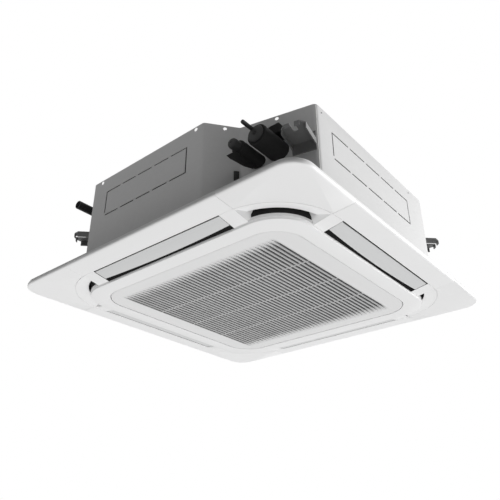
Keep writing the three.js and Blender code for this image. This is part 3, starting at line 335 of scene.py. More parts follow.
class Graph(Nodes):
    """One material's node tree, with object coordinates ready to use."""

    def __init__(self, name):
        self.material = bpy.data.materials.new(name)
        self.material.use_nodes = True
        super().__init__(self.material.node_tree)
        self.shader = self.tree.nodes["Principled BSDF"]
        self.place = self.add("ShaderNodeTexCoord").outputs["Object"]

    def noise(self, scale, detail=3.0, stretch=(1, 1, 1)):
        mapping = self.add("ShaderNodeMapping")
        mapping.inputs["Scale"].default_value = stretch
        self.link(self.place, mapping.inputs["Vector"])
        noise = self.add("ShaderNodeTexNoise")
        noise.inputs["Scale"].default_value = scale
        noise.inputs["Detail"].default_value = detail
        self.link(mapping.outputs["Vector"], noise.inputs["Vector"])
        return noise.outputs["Fac"]

    def cells(self, scale, place=None, **values):
        """Outputs of a Voronoi texture with a number of cells to the metre."""
        node = self.add("ShaderNodeTexVoronoi", **values)
        node.inputs["Scale"].default_value = scale
        self.link(place or self.place, node.inputs["Vector"])
        return node.outputs

    def span(self, value, low, high, from_low=0.0, from_high=1.0):
        node = self.add("ShaderNodeMapRange")
        node.inputs["From Min"].default_value = from_low
        node.inputs["From Max"].default_value = from_high
        node.inputs["To Min"].default_value = low
        node.inputs["To Max"].default_value = high
        self.link(value, node.inputs["Value"])
        return node.outputs["Result"]

    def mix(self, factor, first, second):
        node = self.add("ShaderNodeMix", data_type="RGBA")
        for slot, value in ((0, factor), (6, first), (7, second)):
            if isinstance(value, tuple):
                node.inputs[slot].default_value = (*value, 1)
            else:
                self.link(value, node.inputs[slot])
        return node.outputs[2]

    def tinted(self, color, factor):
        """A colour scaled by a value that varies over the surface."""
        node = self.add("ShaderNodeVectorMath", operation="SCALE")
        node.inputs[0].default_value = color
        self.link(factor, node.inputs["Scale"])
        return node.outputs["Vector"]

    def axes(self):
        split = self.add("ShaderNodeSeparateXYZ")
        self.link(self.place, split.inputs["Vector"])
        return split.outputs

    def wave(self, value, length_mm):
        """A sine wave of a given length along a coordinate in metres."""
        return self.math("SINE", self.math("MULTIPLY", value, 2 * math.pi / (length_mm * MM)))

    def bump(self, height, strength, distance_mm):
        node = self.add("ShaderNodeBump")
        node.inputs["Strength"].default_value = strength
        node.inputs["Distance"].default_value = distance_mm * MM
        self.link(height, node.inputs["Height"])
        self.link(node.outputs["Normal"], self.shader.inputs["Normal"])

    def finish(self, color, roughness, metallic=0.0, specular=0.5):
        self.shader.inputs["Metallic"].default_value = metallic
        self.shader.inputs["Specular IOR Level"].default_value = specular
        for key, value in (("Base Color", color), ("Roughness", roughness)):
            if isinstance(value, float):
                self.shader.inputs[key].default_value = value
            else:
                self.link(value, self.shader.inputs[key])
        return self.material


# %% [markdown]
# Moulded plastic is nearly one colour with a fine spark-eroded grain. Zinc-coated sheet shows small
# faint crystals and rolling streaks. Foam is pimpled and scuffed, and rubber is matt.

# %% Finishes
SPARK_GRAIN = 1400


def plastic(name, color, rough=0.42, grain=0.25, mottling=0.012, specular=0.4):
    g = Graph(name)
    g.bump(g.noise(SPARK_GRAIN, 2), grain, 0.03)
    return g.finish(g.tinted(color, g.span(g.noise(9, 2), 1 - mottling, 1 + mottling)),
                    g.span(g.noise(60, 3), rough - 0.05, rough + 0.06), specular=specular)


def slatted_plastic(name, color):
    """White plastic with painted shade: the slat faces are darker over the slotted field, fading out where
    the slots run out, and a painted dark grey deepens up inside the slots.
    """
    g = Graph(name)
    axis = g.axes()
    across = g.span(g.math("ABSOLUTE", axis["X"]), 1, 0, 236 * MM, 284 * MM)
    along = g.span(g.math("ABSOLUTE", axis["Y"]), 1, 0, 262 * MM, 268 * MM)
    # Painted shade: the slat faces over the slotted field are darkened, less towards the slots' run-outs.
    painted_field_shade = g.span(g.math("MULTIPLY", across, along), 1.0, 0.57)
    # Painted shade: a dark grey that grows with height up inside the slots.
    depth = g.math("MULTIPLY", g.span(axis["Z"], 0, 1, 0.6 * MM, 3.4 * MM), across)
    painted_face = g.tinted(color, g.math("MULTIPLY", g.span(g.noise(9, 2), 0.988, 1.012), painted_field_shade))
    painted_slot_shade = g.tinted((0.28, 0.28, 0.282), g.span(g.noise(140, 3), 0.88, 1.12))
    g.bump(g.noise(SPARK_GRAIN, 2), 0.25, 0.03)
    return g.finish(g.mix(depth, painted_face, painted_slot_shade), g.span(g.noise(60, 3), 0.38, 0.5), specular=0.4)


def galvanised(name, color, rough=0.5, metallic=0.1, cell=110):
    """Zinc-coated sheet: crystals of slightly different lightness, faint streaks and handling marks."""
    g = Graph(name)
    wobble = g.add("ShaderNodeTexNoise")
    wobble.inputs["Scale"].default_value = 70
    g.link(g.place, wobble.inputs["Vector"])
    shift = g.add("ShaderNodeVectorMath", operation="SCALE")
    shift.inputs["Scale"].default_value = 12 * MM
    g.link(wobble.outputs["Color"], shift.inputs[0])
    warp = g.add("ShaderNodeVectorMath", operation="ADD")
    g.link(g.place, warp.inputs[0])
    g.link(shift.outputs["Vector"], warp.inputs[1])
    crystals = g.cells(cell, warp.outputs["Vector"])
    split = g.add("ShaderNodeSeparateColor")
    g.link(crystals["Color"], split.inputs["Color"])
    spangle = g.span(split.outputs["Red"], 0.99, 1.01)
    streak = g.span(g.noise(6, 3, (1, 1, 14)), 0.985, 1.01)
    blotch = g.span(g.noise(3.2, 3), 0.99, 1.01)
    value = g.math("MULTIPLY", g.math("MULTIPLY", spangle, streak), blotch)
    g.bump(g.noise(260, 3), 0.03, 0.02)
    return g.finish(g.tinted(color, value), g.span(split.outputs["Blue"], rough - 0.01, rough + 0.015),
                    metallic, 0.25)


def foam(name, color, rough=0.9, scale=520, depth=0.4):
    """Closed-cell foam: a pimpled skin with scuffs."""
    g = Graph(name)
    g.bump(g.cells(scale)["Distance"], depth, 0.5)
    return g.finish(g.tinted(color, g.span(g.noise(45, 4), 0.8, 1.25)),
                    g.span(g.noise(120, 2), rough - 0.1, min(1.0, rough + 0.08)), specular=0.15)


def rubber(name, color):
    g = Graph(name)
    g.bump(g.noise(700, 2), 0.25, 0.08)
    return g.finish(g.tinted(color, g.span(g.noise(30, 3), 0.85, 1.2)),
                    g.span(g.noise(90, 2), 0.55, 0.75), specular=0.3)


def metal(name, color, rough, metallic=0.9, tarnish=0.08):
    g = Graph(name)
    g.bump(g.noise(900, 2, (1, 1, 6)), 0.1, 0.03)
    return g.finish(g.tinted(color, g.span(g.noise(22, 4), 1 - tarnish, 1 + tarnish)),
                    g.span(g.noise(160, 3), rough - 0.08, rough + 0.1), metallic)


# %% [markdown]
# Three finishes have a regular pattern: the coil's aluminium fins, the filter's woven net and the
# circuit board's tracks. Sine waves and a square-celled Voronoi texture draw them at their real size.

# %% Patterned finishes
def fins(name):
    """Aluminium fins on edge, 1.8 mm apart, with the tube rows showing as faint bands."""
    g = Graph(name)
    axis = g.axes()
    comb = g.wave(g.math("ADD", axis["X"], axis["Y"]), 1.8)
    rows = g.wave(axis["Z"], 21)
    shadow = g.math("MULTIPLY", g.span(comb, 0.35, 1.0, -1, 1), g.span(rows, 0.9, 1.0, -1, 1))
    g.bump(comb, 0.6, 0.6)
    return g.finish(g.tinted((0.68, 0.70, 0.72), shadow), 0.4, 0.7)


def net(name):
    """Woven filter net: dark threads on a 2.4 mm grid."""
    g = Graph(name)
    axis = g.axes()
    weave = g.math("MAXIMUM", g.wave(axis["X"], 2.4), g.wave(axis["Y"], 2.4))
    g.bump(weave, 0.6, 0.4)
    hole, thread = (0.012, 0.012, 0.013), (0.10, 0.105, 0.11)
    return g.finish(g.mix(g.span(weave, 0, 1, -0.2, 1), hole, thread), 0.75)


def circuit(name):
    """Copper tracks under green varnish."""
    g = Graph(name)
    tracks = g.span(g.cells(160, distance="CHEBYCHEV")["Distance"], 0, 1, 0.35, 0.5)
    g.bump(tracks, 0.3, 0.1)
    return g.finish(g.mix(tracks, (0.03, 0.16, 0.08), (0.07, 0.28, 0.14)), 0.4)


# %% Finish of every part
looks = {
    "panel_white": plastic("panel_white", (0.86, 0.86, 0.86)),
    "louvre_grey": plastic("louvre_grey", (0.65, 0.655, 0.655)),
    "grille_white": slatted_plastic("grille_white", (0.78, 0.78, 0.78)),
    "filter_net": net("filter_net"),
    "zinc_sheet": galvanised("zinc_sheet", (0.64, 0.64, 0.64)),
    # zinc_bracket is the sheet's zinc painted far darker: painted shade, for brackets that hang in shade.
    "zinc_bracket": galvanised("zinc_bracket", (0.19, 0.19, 0.19), 0.42, cell=120),
    "white_foam": foam("white_foam", (0.84, 0.84, 0.82), 0.85, 300, 0.25),
    "dark_plastic": plastic("dark_plastic", (0.018, 0.018, 0.019), 0.5, 0.3, 0.1, 0.25),
    "fan_plastic": plastic("fan_plastic", (0.50, 0.52, 0.54), 0.45, 0.2, 0.03),
    "plain_steel": metal("plain_steel", (0.55, 0.56, 0.58), 0.32),
    "motor_paint": plastic("motor_paint", (0.05, 0.053, 0.056), 0.4, 0.5, 0.05),
    "coil_fins": fins("coil_fins"),
    "copper_pipe": metal("copper_pipe", (0.72, 0.36, 0.20), 0.3, 0.95, 0.15),
    "pipe_foam": foam("pipe_foam", (0.030, 0.030, 0.030)),
    "black_rubber": rubber("black_rubber", (0.022, 0.022, 0.022)),
    "cream_plastic": plastic("cream_plastic", (0.66, 0.63, 0.54), 0.4, 0.2, 0.03),
    "board_green": circuit("board_green"),
}
# Black of painted shade, for skins in the channels, in the crescent slits and behind the knock-outs, where
# there is only shade.
painted_shade_look = foam("painted_shade_black", (0.022, 0.022, 0.022), 0.95, 900, 0.5)
pale_screw_look = metal("pale_screw", (0.92, 0.92, 0.92), 0.2, 1.0, 0.03)
grey_screw_look = metal("grey_screw", (0.45, 0.45, 0.46), 0.4, 0.3)

for entry in frame["record"]["subparts"]:
    node = frame["nodes"][entry["node"]]
    node.data.materials.clear()
    node.data.materials.append(looks[entry["material_slot"]])


def piece(obj, body, slot, *nodes, look=None):
    """Gives a piece its finish, the body it rides on and the parts it stands for."""
    obj.data.materials.clear()
    obj.data.materials.append(look or looks[slot])
    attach(obj, body)
    if nodes:
        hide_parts(*nodes)
    print(obj.name, len(obj.data.polygons), "faces")


# %% [markdown]
# ## Decoration panel
# The panel frame is one moulding. A single profile, carried round a rounded square, gives its
# rolled rim, flat skirt, air channel and centre frame. Four corners of the channel are filled by
# sloping blocks, and a shallow pocket with leaning ends is cut into each block: the crescent outlet.

# %% Panel profile
ROLLED_RIM = [(-6, 19.4), (-3.4, 19.9), (-1.3, 21.1), (-0.2, 22.8), (0, 24.6)]

panel = square_ring("panel_frame", [
    *profile(PANEL, RIM_CORNER, *ROLLED_RIM, (0, 28), (-1, 29), (-4, 29), (-4, 36), (-10, 36), (-10, 27)),
    *profile(OUTLET, OUTLET_CORNER, (4, 22), (4, PANEL_TOP)),
    *profile(CENTRE, CENTRE_CORNER, (-4, PANEL_TOP), (-4, 3.5)),
    *profile(GRILLE, OUTLET_CORNER, (6.5, 3.5), (6.5, PANEL_TOP), (3.2, PANEL_TOP), (3.2, 3.2), (0, 3.2),
             (0, 0)),
    *profile(CENTRE, CENTRE_CORNER, (-2.8, 0), (-1, 0.8), (0, 2.6), (0, CHANNEL_TOP)),
    *profile(OUTLET, OUTLET_CORNER, (0, CHANNEL_TOP), (0, 17), (2, 15)),
])

# %% [markdown]
# A block's face slopes up from the centre frame to the skirt. The corner covers lie in a recess, and
# the channel's roof is open over each louvre, where the duct comes down.

# %% Blocks and crescents
SEAM = 262
BLOCK = 220
BLOCK_FOOT = 6
BLOCK_SLOPE = 9.5 / (OUTLET - CENTRE)
PIVOT_U, PIVOT_Z = 386, 17


def crescent_ends():
    """The space between a crescent's end faces, which lean apart by 0.55 mm for each millimetre up."""
    lean, far = 0.55, 480
    z = np.array([-5.0, CHANNEL_TOP])
    near = (SEAM + lean * (z - BLOCK_FOOT + BLOCK_SLOPE * CENTRE)) / (1 + lean * BLOCK_SLOPE)
    side = SEAM + lean * (z - BLOCK_FOOT - BLOCK_SLOPE * (far - CENTRE))
    fars = np.full(2, float(far))
    corners = [(near, near, z), (fars, side, z), (fars, fars, z), (side, fars, z)]
    return loft("crescent_ends", np.stack([np.stack(c, axis=-1) for c in corners], axis=1))


def duct_way():
    return box("duct", 366, 391, -150, 150, CHANNEL_TOP - 1, PANEL_TOP + 1)


fill = corner_part(square_ring("fill", [
    *profile(CENTRE, CENTRE_CORNER, (-0.5, BLOCK_FOOT)),
    *profile(OUTLET, OUTLET_CORNER, (0.5, 15.5), (0.5, CHANNEL_TOP + 1)),
    *profile(CENTRE, CENTRE_CORNER, (-0.5, CHANNEL_TOP + 1))]), BLOCK)
pocket = square_ring("pocket", [
    *profile(CENTRE, CENTRE_CORNER, (1, -1)),
    *profile(OUTLET, OUTLET_CORNER, (0.1, -1), (0.1, 15.2), (-33, 23.5), (-33, CHANNEL_TOP)),
    *profile(CENTRE, CENTRE_CORNER, (1, CHANNEL_TOP))])
boolean(pocket, [crescent_ends()], "INTERSECT")
recess = corner_part(square_ring("recess", [
    *profile(OUTLET, OUTLET_CORNER, (2.2, 12)),
    *profile(PANEL, RIM_CORNER, (5, 17), (7, 20), (7, 29.3), (-3.1, 29.3), (-3.1, 23.3)),
    *profile(OUTLET, OUTLET_CORNER, (2.2, 17.9))]), SEAM)
side_ways = merged("side_ways", [
    duct_way(),
    box("motor_bed", 372, 401, BLOCK + 3, BLOCK + 26, 14.7, PANEL_TOP + 1),
    rod("far_hole", (PIVOT_U, BLOCK - 1, PIVOT_Z), (PIVOT_U, BLOCK + 2.5, PIVOT_Z), 3.3, 0.1, 24),
    rod("near_hole", (PIVOT_U, 1 - BLOCK, PIVOT_Z), (PIVOT_U, -BLOCK - 12, PIVOT_Z), 3.3, 0.1, 24)])

# %% [markdown]
# The grille hangs on two pins behind the centre frame, out of sight from below. Two ears hold each
# pin, and the lip beside them is open where the grille's arm passes.

# %% Cuts and hinge ears
NECK_X = (-200, 200)
HINGE_Y, HINGE_Z = 344, 7

neck_ways = merged("neck_ways", [
    box("neck_way", x - 8, x + 8, 321, 327.5, 3.5, PANEL_TOP + 1) for x in NECK_X])
boolean(panel, [four("fill", fill)], "UNION")
boolean(panel, [four("pockets", pocket), four("recesses", recess), four("side_ways", side_ways), neck_ways])
soften(panel, 0.5)

ears = []
for x in NECK_X:
    for at in (x - 8.5, x + 8.5):
        ear = box("ear", at - 1.5, at + 1.5, HINGE_Y - 4, HINGE_Y + 4, 3, HINGE_Z)
        head = rod("head", (at - 1.5, HINGE_Y, HINGE_Z), (at + 1.5, HINGE_Y, HINGE_Z), 4, 0.05, 32)
        hole = rod("hole", (at - 3, HINGE_Y, HINGE_Z), (at + 3, HINGE_Y, HINGE_Z), 2.3, 0.05, 24)
        boolean(ear, [head], "UNION")
        ears.append(boolean(ear, [hole]))
panel = merged("panel_frame_skin", [panel, *ears])
shade(panel, SOFT_EDGE_ANGLE)
piece(panel, "housing", "panel_white", "panel_frame")

# %% [markdown]
# The lift-off corner covers continue the rim and the skirt, with a hairline seam on each side.

# %% Corner covers
for k in range(4):
    name = "corner_cover_%d" % (k + 1)
    cover = corner_part(square_ring(name.replace("cover", "cover_skin"), [
        *profile(OUTLET, OUTLET_CORNER, (2.5, 15.1)),
        *profile(PANEL, RIM_CORNER, *ROLLED_RIM, (0, 28.2), (-0.8, 29), (-2.8, 29), (-2.8, 23)),
        *profile(OUTLET, OUTLET_CORNER, (2.5, 17.6))]), SEAM + 0.35)
    soften(turned(cover, k), 0.3)
    piece(cover, "housing", "panel_white", name)

# %% [markdown]
# A thin black skin lines the air channel above each louvre and the slit deep in each crescent: painted shade,
# so the gaps read as dark lines. It stops just above the visible edges.

# %% Painted shade linings
SHADE_SKIN = 0.3


def trough(u0, u1, v, foot0, foot1, top):
    """A black box of painted shade, open below, over a louvre; its foot rises from foot0 at u0 to foot1 at
    u1.
    """
    def shell(name, inset, drop):
        corners = np.array([(u0 + inset, inset - v), (u1 - inset, inset - v),
                            (u1 - inset, v - inset), (u0 + inset, v - inset)])
        foot = foot0 + (corners[:, :1] - u0) * (foot1 - foot0) / (u1 - u0) - drop
        return loft(name, [np.hstack([corners, foot]), np.hstack([corners, np.full((4, 1), top - inset)])])
    return boolean(shell("trough", 0, 0), [shell("inside", SHADE_SKIN, 2)])


# Painted shade: a black skin in the channel over each louvre.
side_painted_shade = trough(CENTRE + SHADE_SKIN, OUTLET - SHADE_SKIN, BLOCK - 0.25, 6.2, 15.8, CHANNEL_TOP - SHADE_SKIN)
boolean(side_painted_shade, [duct_way()])
piece(four("channel_painted_shade", side_painted_shade), "housing", "pipe_foam", look=painted_shade_look)

# Painted shade: a black skin in the slit of each crescent.
slit = corner_part(square_ring("slit", [
    *profile(CENTRE, CENTRE_CORNER, (1.2, 14.5), (1.5, 14.5), (1.5, 41.3)),
    *profile(OUTLET, OUTLET_CORNER, (-33.7, 41.3), (-33.7, 25), (-33.4, 25), (-33.4, 41.6)),
    *profile(CENTRE, CENTRE_CORNER, (1.2, 41.6))]), SEAM + 8)
piece(four("crescent_painted_shade", slit), "housing", "pipe_foam", look=painted_shade_look)

# %% [markdown]
# ## Louvres
# Each louvre is a thin blade that tilts up from its outer edge. Its inner edge bows out in the
# middle, so the black gap beside it is a long crescent. Ears at its ends carry the pivot pins.

# %% Louvre blades
LOUVRE_HALF = 218.2
LOUVRE_SLOPE = 0.1944
BLADE = 3


def louvre_face(u):
    """Height of the lower face, which falls inward from z 15.5 at the skirt's edge."""
    return 15.5 - (413.2 - u) * LOUVRE_SLOPE


def louvre_form(name):
    """The louvre of the +X side: its far pin is short, and its near pin reaches its motor."""
    v = np.linspace(-LOUVRE_HALF, LOUVRE_HALF, 49)
    inner = 377 - 6.5 * (1 - (v / LOUVRE_HALF) ** 2)
    outer = np.full_like(v, 412.2)
    edges = [(outer, v, louvre_face(outer)), (inner, v, louvre_face(inner)),
             (inner + 0.5, v, louvre_face(inner) + BLADE), (outer - 0.5, v, louvre_face(outer) + BLADE)]
    parts = [soften(loft("blade", np.stack([np.stack(edge, axis=-1) for edge in edges], axis=1)), 0.7, 3)]
    for side, tip in ((-1, BLOCK + 9.5), (1, BLOCK + 2.6)):
        ear_in, ear_out = side * (LOUVRE_HALF - 4), side * (LOUVRE_HALF - 1)
        parts.append(rod("ear", (PIVOT_U, ear_in, PIVOT_Z), (PIVOT_U, ear_out, PIVOT_Z), 5))
        parts.append(box("root", PIVOT_U - 5, PIVOT_U + 5, *sorted((ear_in, ear_out)), 11.8, PIVOT_Z))
        parts.append(rod("pin", (PIVOT_U, ear_out, PIVOT_Z), (PIVOT_U, side * tip, PIVOT_Z), 2.9, 0.4, 24))
    return merged(name, parts)


for k in range(4):
    louvre = turned(louvre_form("louvre_skin_%d" % (k + 1)), k)
    piece(louvre, "louvre_%d" % (k + 1), "louvre_grey", "louvre_%d" % (k + 1))

# %% [markdown]
# ## Intake grille
# A thin moulding with 41 slots that run out at both ends, where the tool that forms them leaves the
# face. It hangs from two goose-neck arms that reach over the panel's lip to their pins, so the hinge
# doesn't show when the grille is shut, and the face clears the lip when it swings down.

# %% Grille face and slots
PITCH, GAP, ROWS = 13.0, 6.5, 41
FACE_REACH, BACK_REACH = 288.0, 238.0
FIELD_X, FIELD_Y = 289, 267
SKIN, DEPTH = 3.5, 5.0


def slat_slots():
    """All slots at once: eight corners for each row, longer below the face than above the back."""
    y = (np.arange(ROWS) - (ROWS - 1) / 2)[:, None] * PITCH
    reach = np.repeat([FACE_REACH, BACK_REACH], 4) * np.tile([-1, 1, 1, -1], 2)
    side = np.tile([-1, -1, 1, 1], 2) * GAP / 2
    height = np.repeat([-1.0, DEPTH + 1], 4)
    points = np.stack(np.broadcast_arrays(reach, y + side, height), axis=-1)
    quads = np.array([(0, 3, 2, 1), (4, 5, 6, 7), (0, 1, 5, 4), (1, 2, 6, 5), (2, 3, 7, 6), (3, 0, 4, 7)])
    return mesh_object("slots", points, (quads + 8 * np.arange(ROWS)[:, None, None]).reshape(-1, 4).tolist())


grille = square_plate("grille", GRILLE - 10, 0, SKIN)
rim = square_ring("rim", profile(
    GRILLE, OUTLET_CORNER, (-3.6, 0), (-2.1, 0.6), (-1.4, 2.0), (-1.4, 18), (-4.4, 18), (-4.4, SKIN),
    (-11, SKIN), (-11, 0)))
boolean(grille, [rim, box("field", -FIELD_X, FIELD_X, -FIELD_Y, FIELD_Y, 0.5, DEPTH)], "UNION")
notches = [box("notch", x - 12, x + 12, 312.6, 323.6, SKIN, 30) for x in NECK_X]
boolean(grille, [slat_slots(), *notches])
soften(grille, 0.4)

# %% [markdown]
# Behind the face stand three cross bars, a stud and an arm at each side, and two filter shelves.

# %% Grille back
ARM_TOP, ARM = 36.8, 5
ARM_Y = 313.1


def goose_neck(x):
    """An arm that rises from the face, bridges the panel's lip and comes down to the hinge pin."""
    neck = box("neck", x - 6, x + 6, HINGE_Y - 3, HINGE_Y + 3, HINGE_Z, ARM_TOP)
    boolean(neck, [
        box("reach", x - 6, x + 6, ARM_Y, HINGE_Y + 3, ARM_TOP - ARM, ARM_TOP),
        box("drop", x - 6, x + 6, ARM_Y, ARM_Y + ARM, 2.5, ARM_TOP),
        rod("roll", (x - 6, HINGE_Y, HINGE_Z), (x + 6, HINGE_Y, HINGE_Z), 3.2, 0.05, 32),
        rod("pin", (x - 10, HINGE_Y, HINGE_Z), (x + 10, HINGE_Y, HINGE_Z), 2, 0.3, 24),
    ], "UNION")
    return soften(neck, 0.3)


backs = [box("bar", x - 1.9, x + 1.9, 2 - FIELD_Y, FIELD_Y - 2, 0.15, DEPTH) for x in (-132, 0, 132)]
for x in NECK_X:
    backs += [rod("stud", (x, -309, 2.5), (x, -309, 27), 3, 0.8, 24), goose_neck(x)]
for x in (-293.5, 293.5):
    backs.append(box("shelf", x - 2.5, x + 2.5, -40, 40, 2.5, 18.3))
piece(merged("intake_grille_skin", [grille, *backs]), "grille", "grille_white", "intake_grille")

# %% [markdown]
# ## Casing
# The casing is folded from zinc-coated sheet in two halves, with a flange at the foot and a lip at
# the top. Each half is a flat profile carried along an open outline, whose corners are softened into
# real press-brake bends. The piping corner is notched inward, and two knock-outs for branch ducts
# are cut as dashed outlines.

# %% Sheet outlines
SHEET, PLATE = 1.5, 1.8
WALL_FOOT, WALL_TOP = 46.3, CASING_TOP - PLATE
FOOT_FLANGE, TOP_LIP = 12, 8
FLAT = 274
FRONT_SEAM, BACK_SEAM = (208, -CASING, 0), (-262, CASING, 0)
FAR_SIDE = [(FLAT, -CASING, 3), (CASING, -FLAT, 3), (CASING, FLAT, 3), (FLAT, CASING, 3)]
PIPING_SIDE = [(-FLAT, CASING, 3), (-CASING, FLAT, 3), (-CASING, -157, 6), (-336, -213, 3),
               (-290, -CASING, 11)]
BEND_STEPS = 7
BEND_ANGLE = 25


def plan(corners):
    """Splits (x, y, setback) corners into points and setbacks. A bend leaves its wall at the setback."""
    corners = np.array(corners, float)
    return corners[:, :2], corners[:, 2:]


def inset_path(path, depth):
    """An open path moved inward: a corner slides along its mitre, and an end along its wall's normal."""
    run = np.diff(path, axis=0)
    run = run / np.linalg.norm(run, axis=1)[:, None]
    normal = np.stack([-run[:, 1], run[:, 0]], axis=1)
    first, second = np.vstack([normal[:1], normal]), np.vstack([normal, normal[-1:]])
    return path + (first + second) * (depth / (1 + (first * second).sum(axis=1)))[:, None]


def bent(path, reach, closed=False):
    """A path whose corners become quadratic curves, each between the setbacks on its two walls."""
    before, after = np.roll(path, 1, axis=0), np.roll(path, -1, axis=0)
    back = (before - path) / np.linalg.norm(before - path, axis=1)[:, None]
    ahead = (after - path) / np.linalg.norm(after - path, axis=1)[:, None]
    t = np.linspace(0, 1, BEND_STEPS)[:, None, None]
    curve = (1 - t) ** 2 * (path + back * reach) + 2 * t * (1 - t) * path + t ** 2 * (path + ahead * reach)
    curve = curve.transpose(1, 0, 2)
    if closed:
        return curve.reshape(-1, 2)
    return np.vstack([path[:1], curve[1:-1].reshape(-1, 2), path[-1:]])


def sheet_wall(name, corners):
    """A wall with a foot flange and a top lip: a closed (inset, z) section carried along a bent path."""
    path, reach = plan(corners)
    section = [(0, WALL_FOOT), (0, WALL_TOP), (TOP_LIP, WALL_TOP), (TOP_LIP, WALL_TOP - SHEET),
               (SHEET, WALL_TOP - SHEET), (SHEET, WALL_FOOT + SHEET), (FOOT_FLANGE, WALL_FOOT + SHEET),
               (FOOT_FLANGE, WALL_FOOT)]
    outlines = np.stack([bent(inset_path(path, inset), reach) for inset, _ in section])
    return loft(name, raised(outlines, [z for _, z in section]).transpose(1, 0, 2))


front_wall = sheet_wall("casing_front_skin", [BACK_SEAM, *PIPING_SIDE, FRONT_SEAM])
rear_wall = sheet_wall("casing_rear_skin", [FRONT_SEAM, *FAR_SIDE, BACK_SEAM])

# %% [markdown]
# The two knock-outs are cut slot by slot, because slots that touch in one cutter break the Boolean.

# %% Knock-outs
SLOT, TAB, DASHES = 4.0, 9.0, 5
KNOCK_OUTS = ((0, -102, 215), (1, -176, 227))
KNOCK_OUT_LOW, KNOCK_OUT_HIGH = 185, 265


def dashes(start, end):
    """Slots of a knock-out as (y0, y1, z0, z1): one up each short edge, five along each long edge."""
    low, high = KNOCK_OUT_LOW, KNOCK_OUT_HIGH
    slots = [(start, start + SLOT, low, high), (end - SLOT, end, low + TAB, high)]
    marks = np.linspace(start, end, DASHES + 1)
    begins, ends = marks[:-1] + TAB / 2, marks[1:] - TAB / 2
    ends[-1] = end - SLOT
    for z, corner_gap in ((low, 0), (high - SLOT, 1)):
        begins[0] = start + SLOT + corner_gap
        slots += [(y0, y1, z, z + SLOT) for y0, y1 in zip(begins, ends)]
    return slots


def knock_outs(x0, x1, grow=0.0):
    """A box for every slot, from x0 to x1 inward of the wall, on the left wall and a quarter turn on."""
    return [turned(box("slot", x0 - CASING, x1 - CASING, y0 - grow, y1 + grow, z0 - grow, z1 + grow), quarter)
            for quarter, start, end in KNOCK_OUTS for y0, y1, z0, z1 in dashes(start, end)]


boolean(front_wall, knock_outs(-4, 4))

# %% [markdown]
# Fittings on the folded walls are placed by their distance out of a wall, along it from its first
# corner, and their height.

# %% Places on a wall
LEFT_WALL, NOTCH_WALL, PIPING_WALL = PIPING_SIDE[1:3], PIPING_SIDE[2:4], PIPING_SIDE[3:5]
FRONT_WALL = [PIPING_SIDE[4], FRONT_SEAM]


def wall_axes(wall):
    """A wall's first corner, its direction and its outward normal."""
    start, end = plan(wall)[0]
    along = (end - start) / np.linalg.norm(end - start)
    return start, along, np.array((along[1], -along[0]))


def wall_point(wall, out, along, z):
    corner, run, normal = wall_axes(wall)
    return (*(corner + normal * out + run * along), z)


def wall_block(name, wall, outs, alongs, heights):
    """A block on a wall, each of its three extents given as (low, high)."""
    (d0, d1), (s0, s1) = outs, alongs
    outline = [wall_point(wall, d, s, 0)[:2] for d, s in ((d0, s0), (d1, s0), (d1, s1), (d0, s1))]
    return loft(name, raised(np.stack([outline, outline]), heights))


# %% Openings
DRAIN = (342, 271)

boolean(front_wall, [
    wall_block("window", PIPING_WALL, (-8, 8), (22, 134), (168, 259)),
    rod("cable_hole", *[wall_point(PIPING_WALL, out, 139, 236) for out in (-8, 8)], 6.5, 0.05, 32),
    rod("drain_hole", (-420, *DRAIN), (-310, *DRAIN), 13.5, 0.05, 40),
])
shade(front_wall, BEND_ANGLE)
shade(rear_wall, BEND_ANGLE)
piece(front_wall, "housing", "zinc_sheet", "casing_wall_front")
piece(rear_wall, "housing", "zinc_sheet", "casing_wall_rear")

# %% [markdown]
# Strips of black behind the knock-outs are painted shade: they make the dashed outlines dark, as the shade
# behind the slots.

# %% Knock-out shade strips
SHADE_SKIN_FRONT = SHEET + 0.05
# Painted shade: black strips behind the knock-out slots.
strips = merged("knock_out_painted_shade", knock_outs(SHADE_SKIN_FRONT, SHADE_SKIN_FRONT + SHADE_SKIN, grow=1.5))
piece(strips, "housing", "pipe_foam", look=painted_shade_look)

# %% [markdown]
# The top plate follows the same bends. A round dish pressed into its middle carries the fan motor.

# %% Top plate
DISH_HOLE = 146.5

outline = bent(*plan([*FAR_SIDE, *PIPING_SIDE]), closed=True)
top_plate = loft("top_plate", raised(np.stack([outline, outline]), [WALL_TOP, CASING_TOP]))
boolean(top_plate, [spun("dish_hole", [(0.01, 300), (DISH_HOLE, 300), (DISH_HOLE, 320), (0.01, 320)])])
dish = spun("dish", [(0.01, 304.5), (137, 304.5), (140, 305.2), (147, 310.5), (147, CASING_TOP),
                     (145, CASING_TOP), (139, 306.8), (136, 306), (0.01, 306)])
top = merged("casing_top_skin", [top_plate, dish])
shade(top, BEND_ANGLE)
piece(top, "housing", "zinc_sheet", "casing_top")


# %% [markdown]
# ## Screws and small fittings of the casing
# Pan-head screws hold the lip and the front sheet. Each head is a short turned dome on its wall. A
# clip and a foot tab join the notched corner to the panel below.

# %% Screws and clip
def screw(wall, along, z, radius=5.0):
    """A screw head at a distance along a wall from its first corner."""
    return turned_bar("screw", wall_point(wall, 0, along, z), wall_point(wall, 1, along, z), [
        (-0.5, radius), (0.3, radius), (1.2, radius * 0.86), (1.9, radius * 0.5), (2.1, 0.3)], 20)


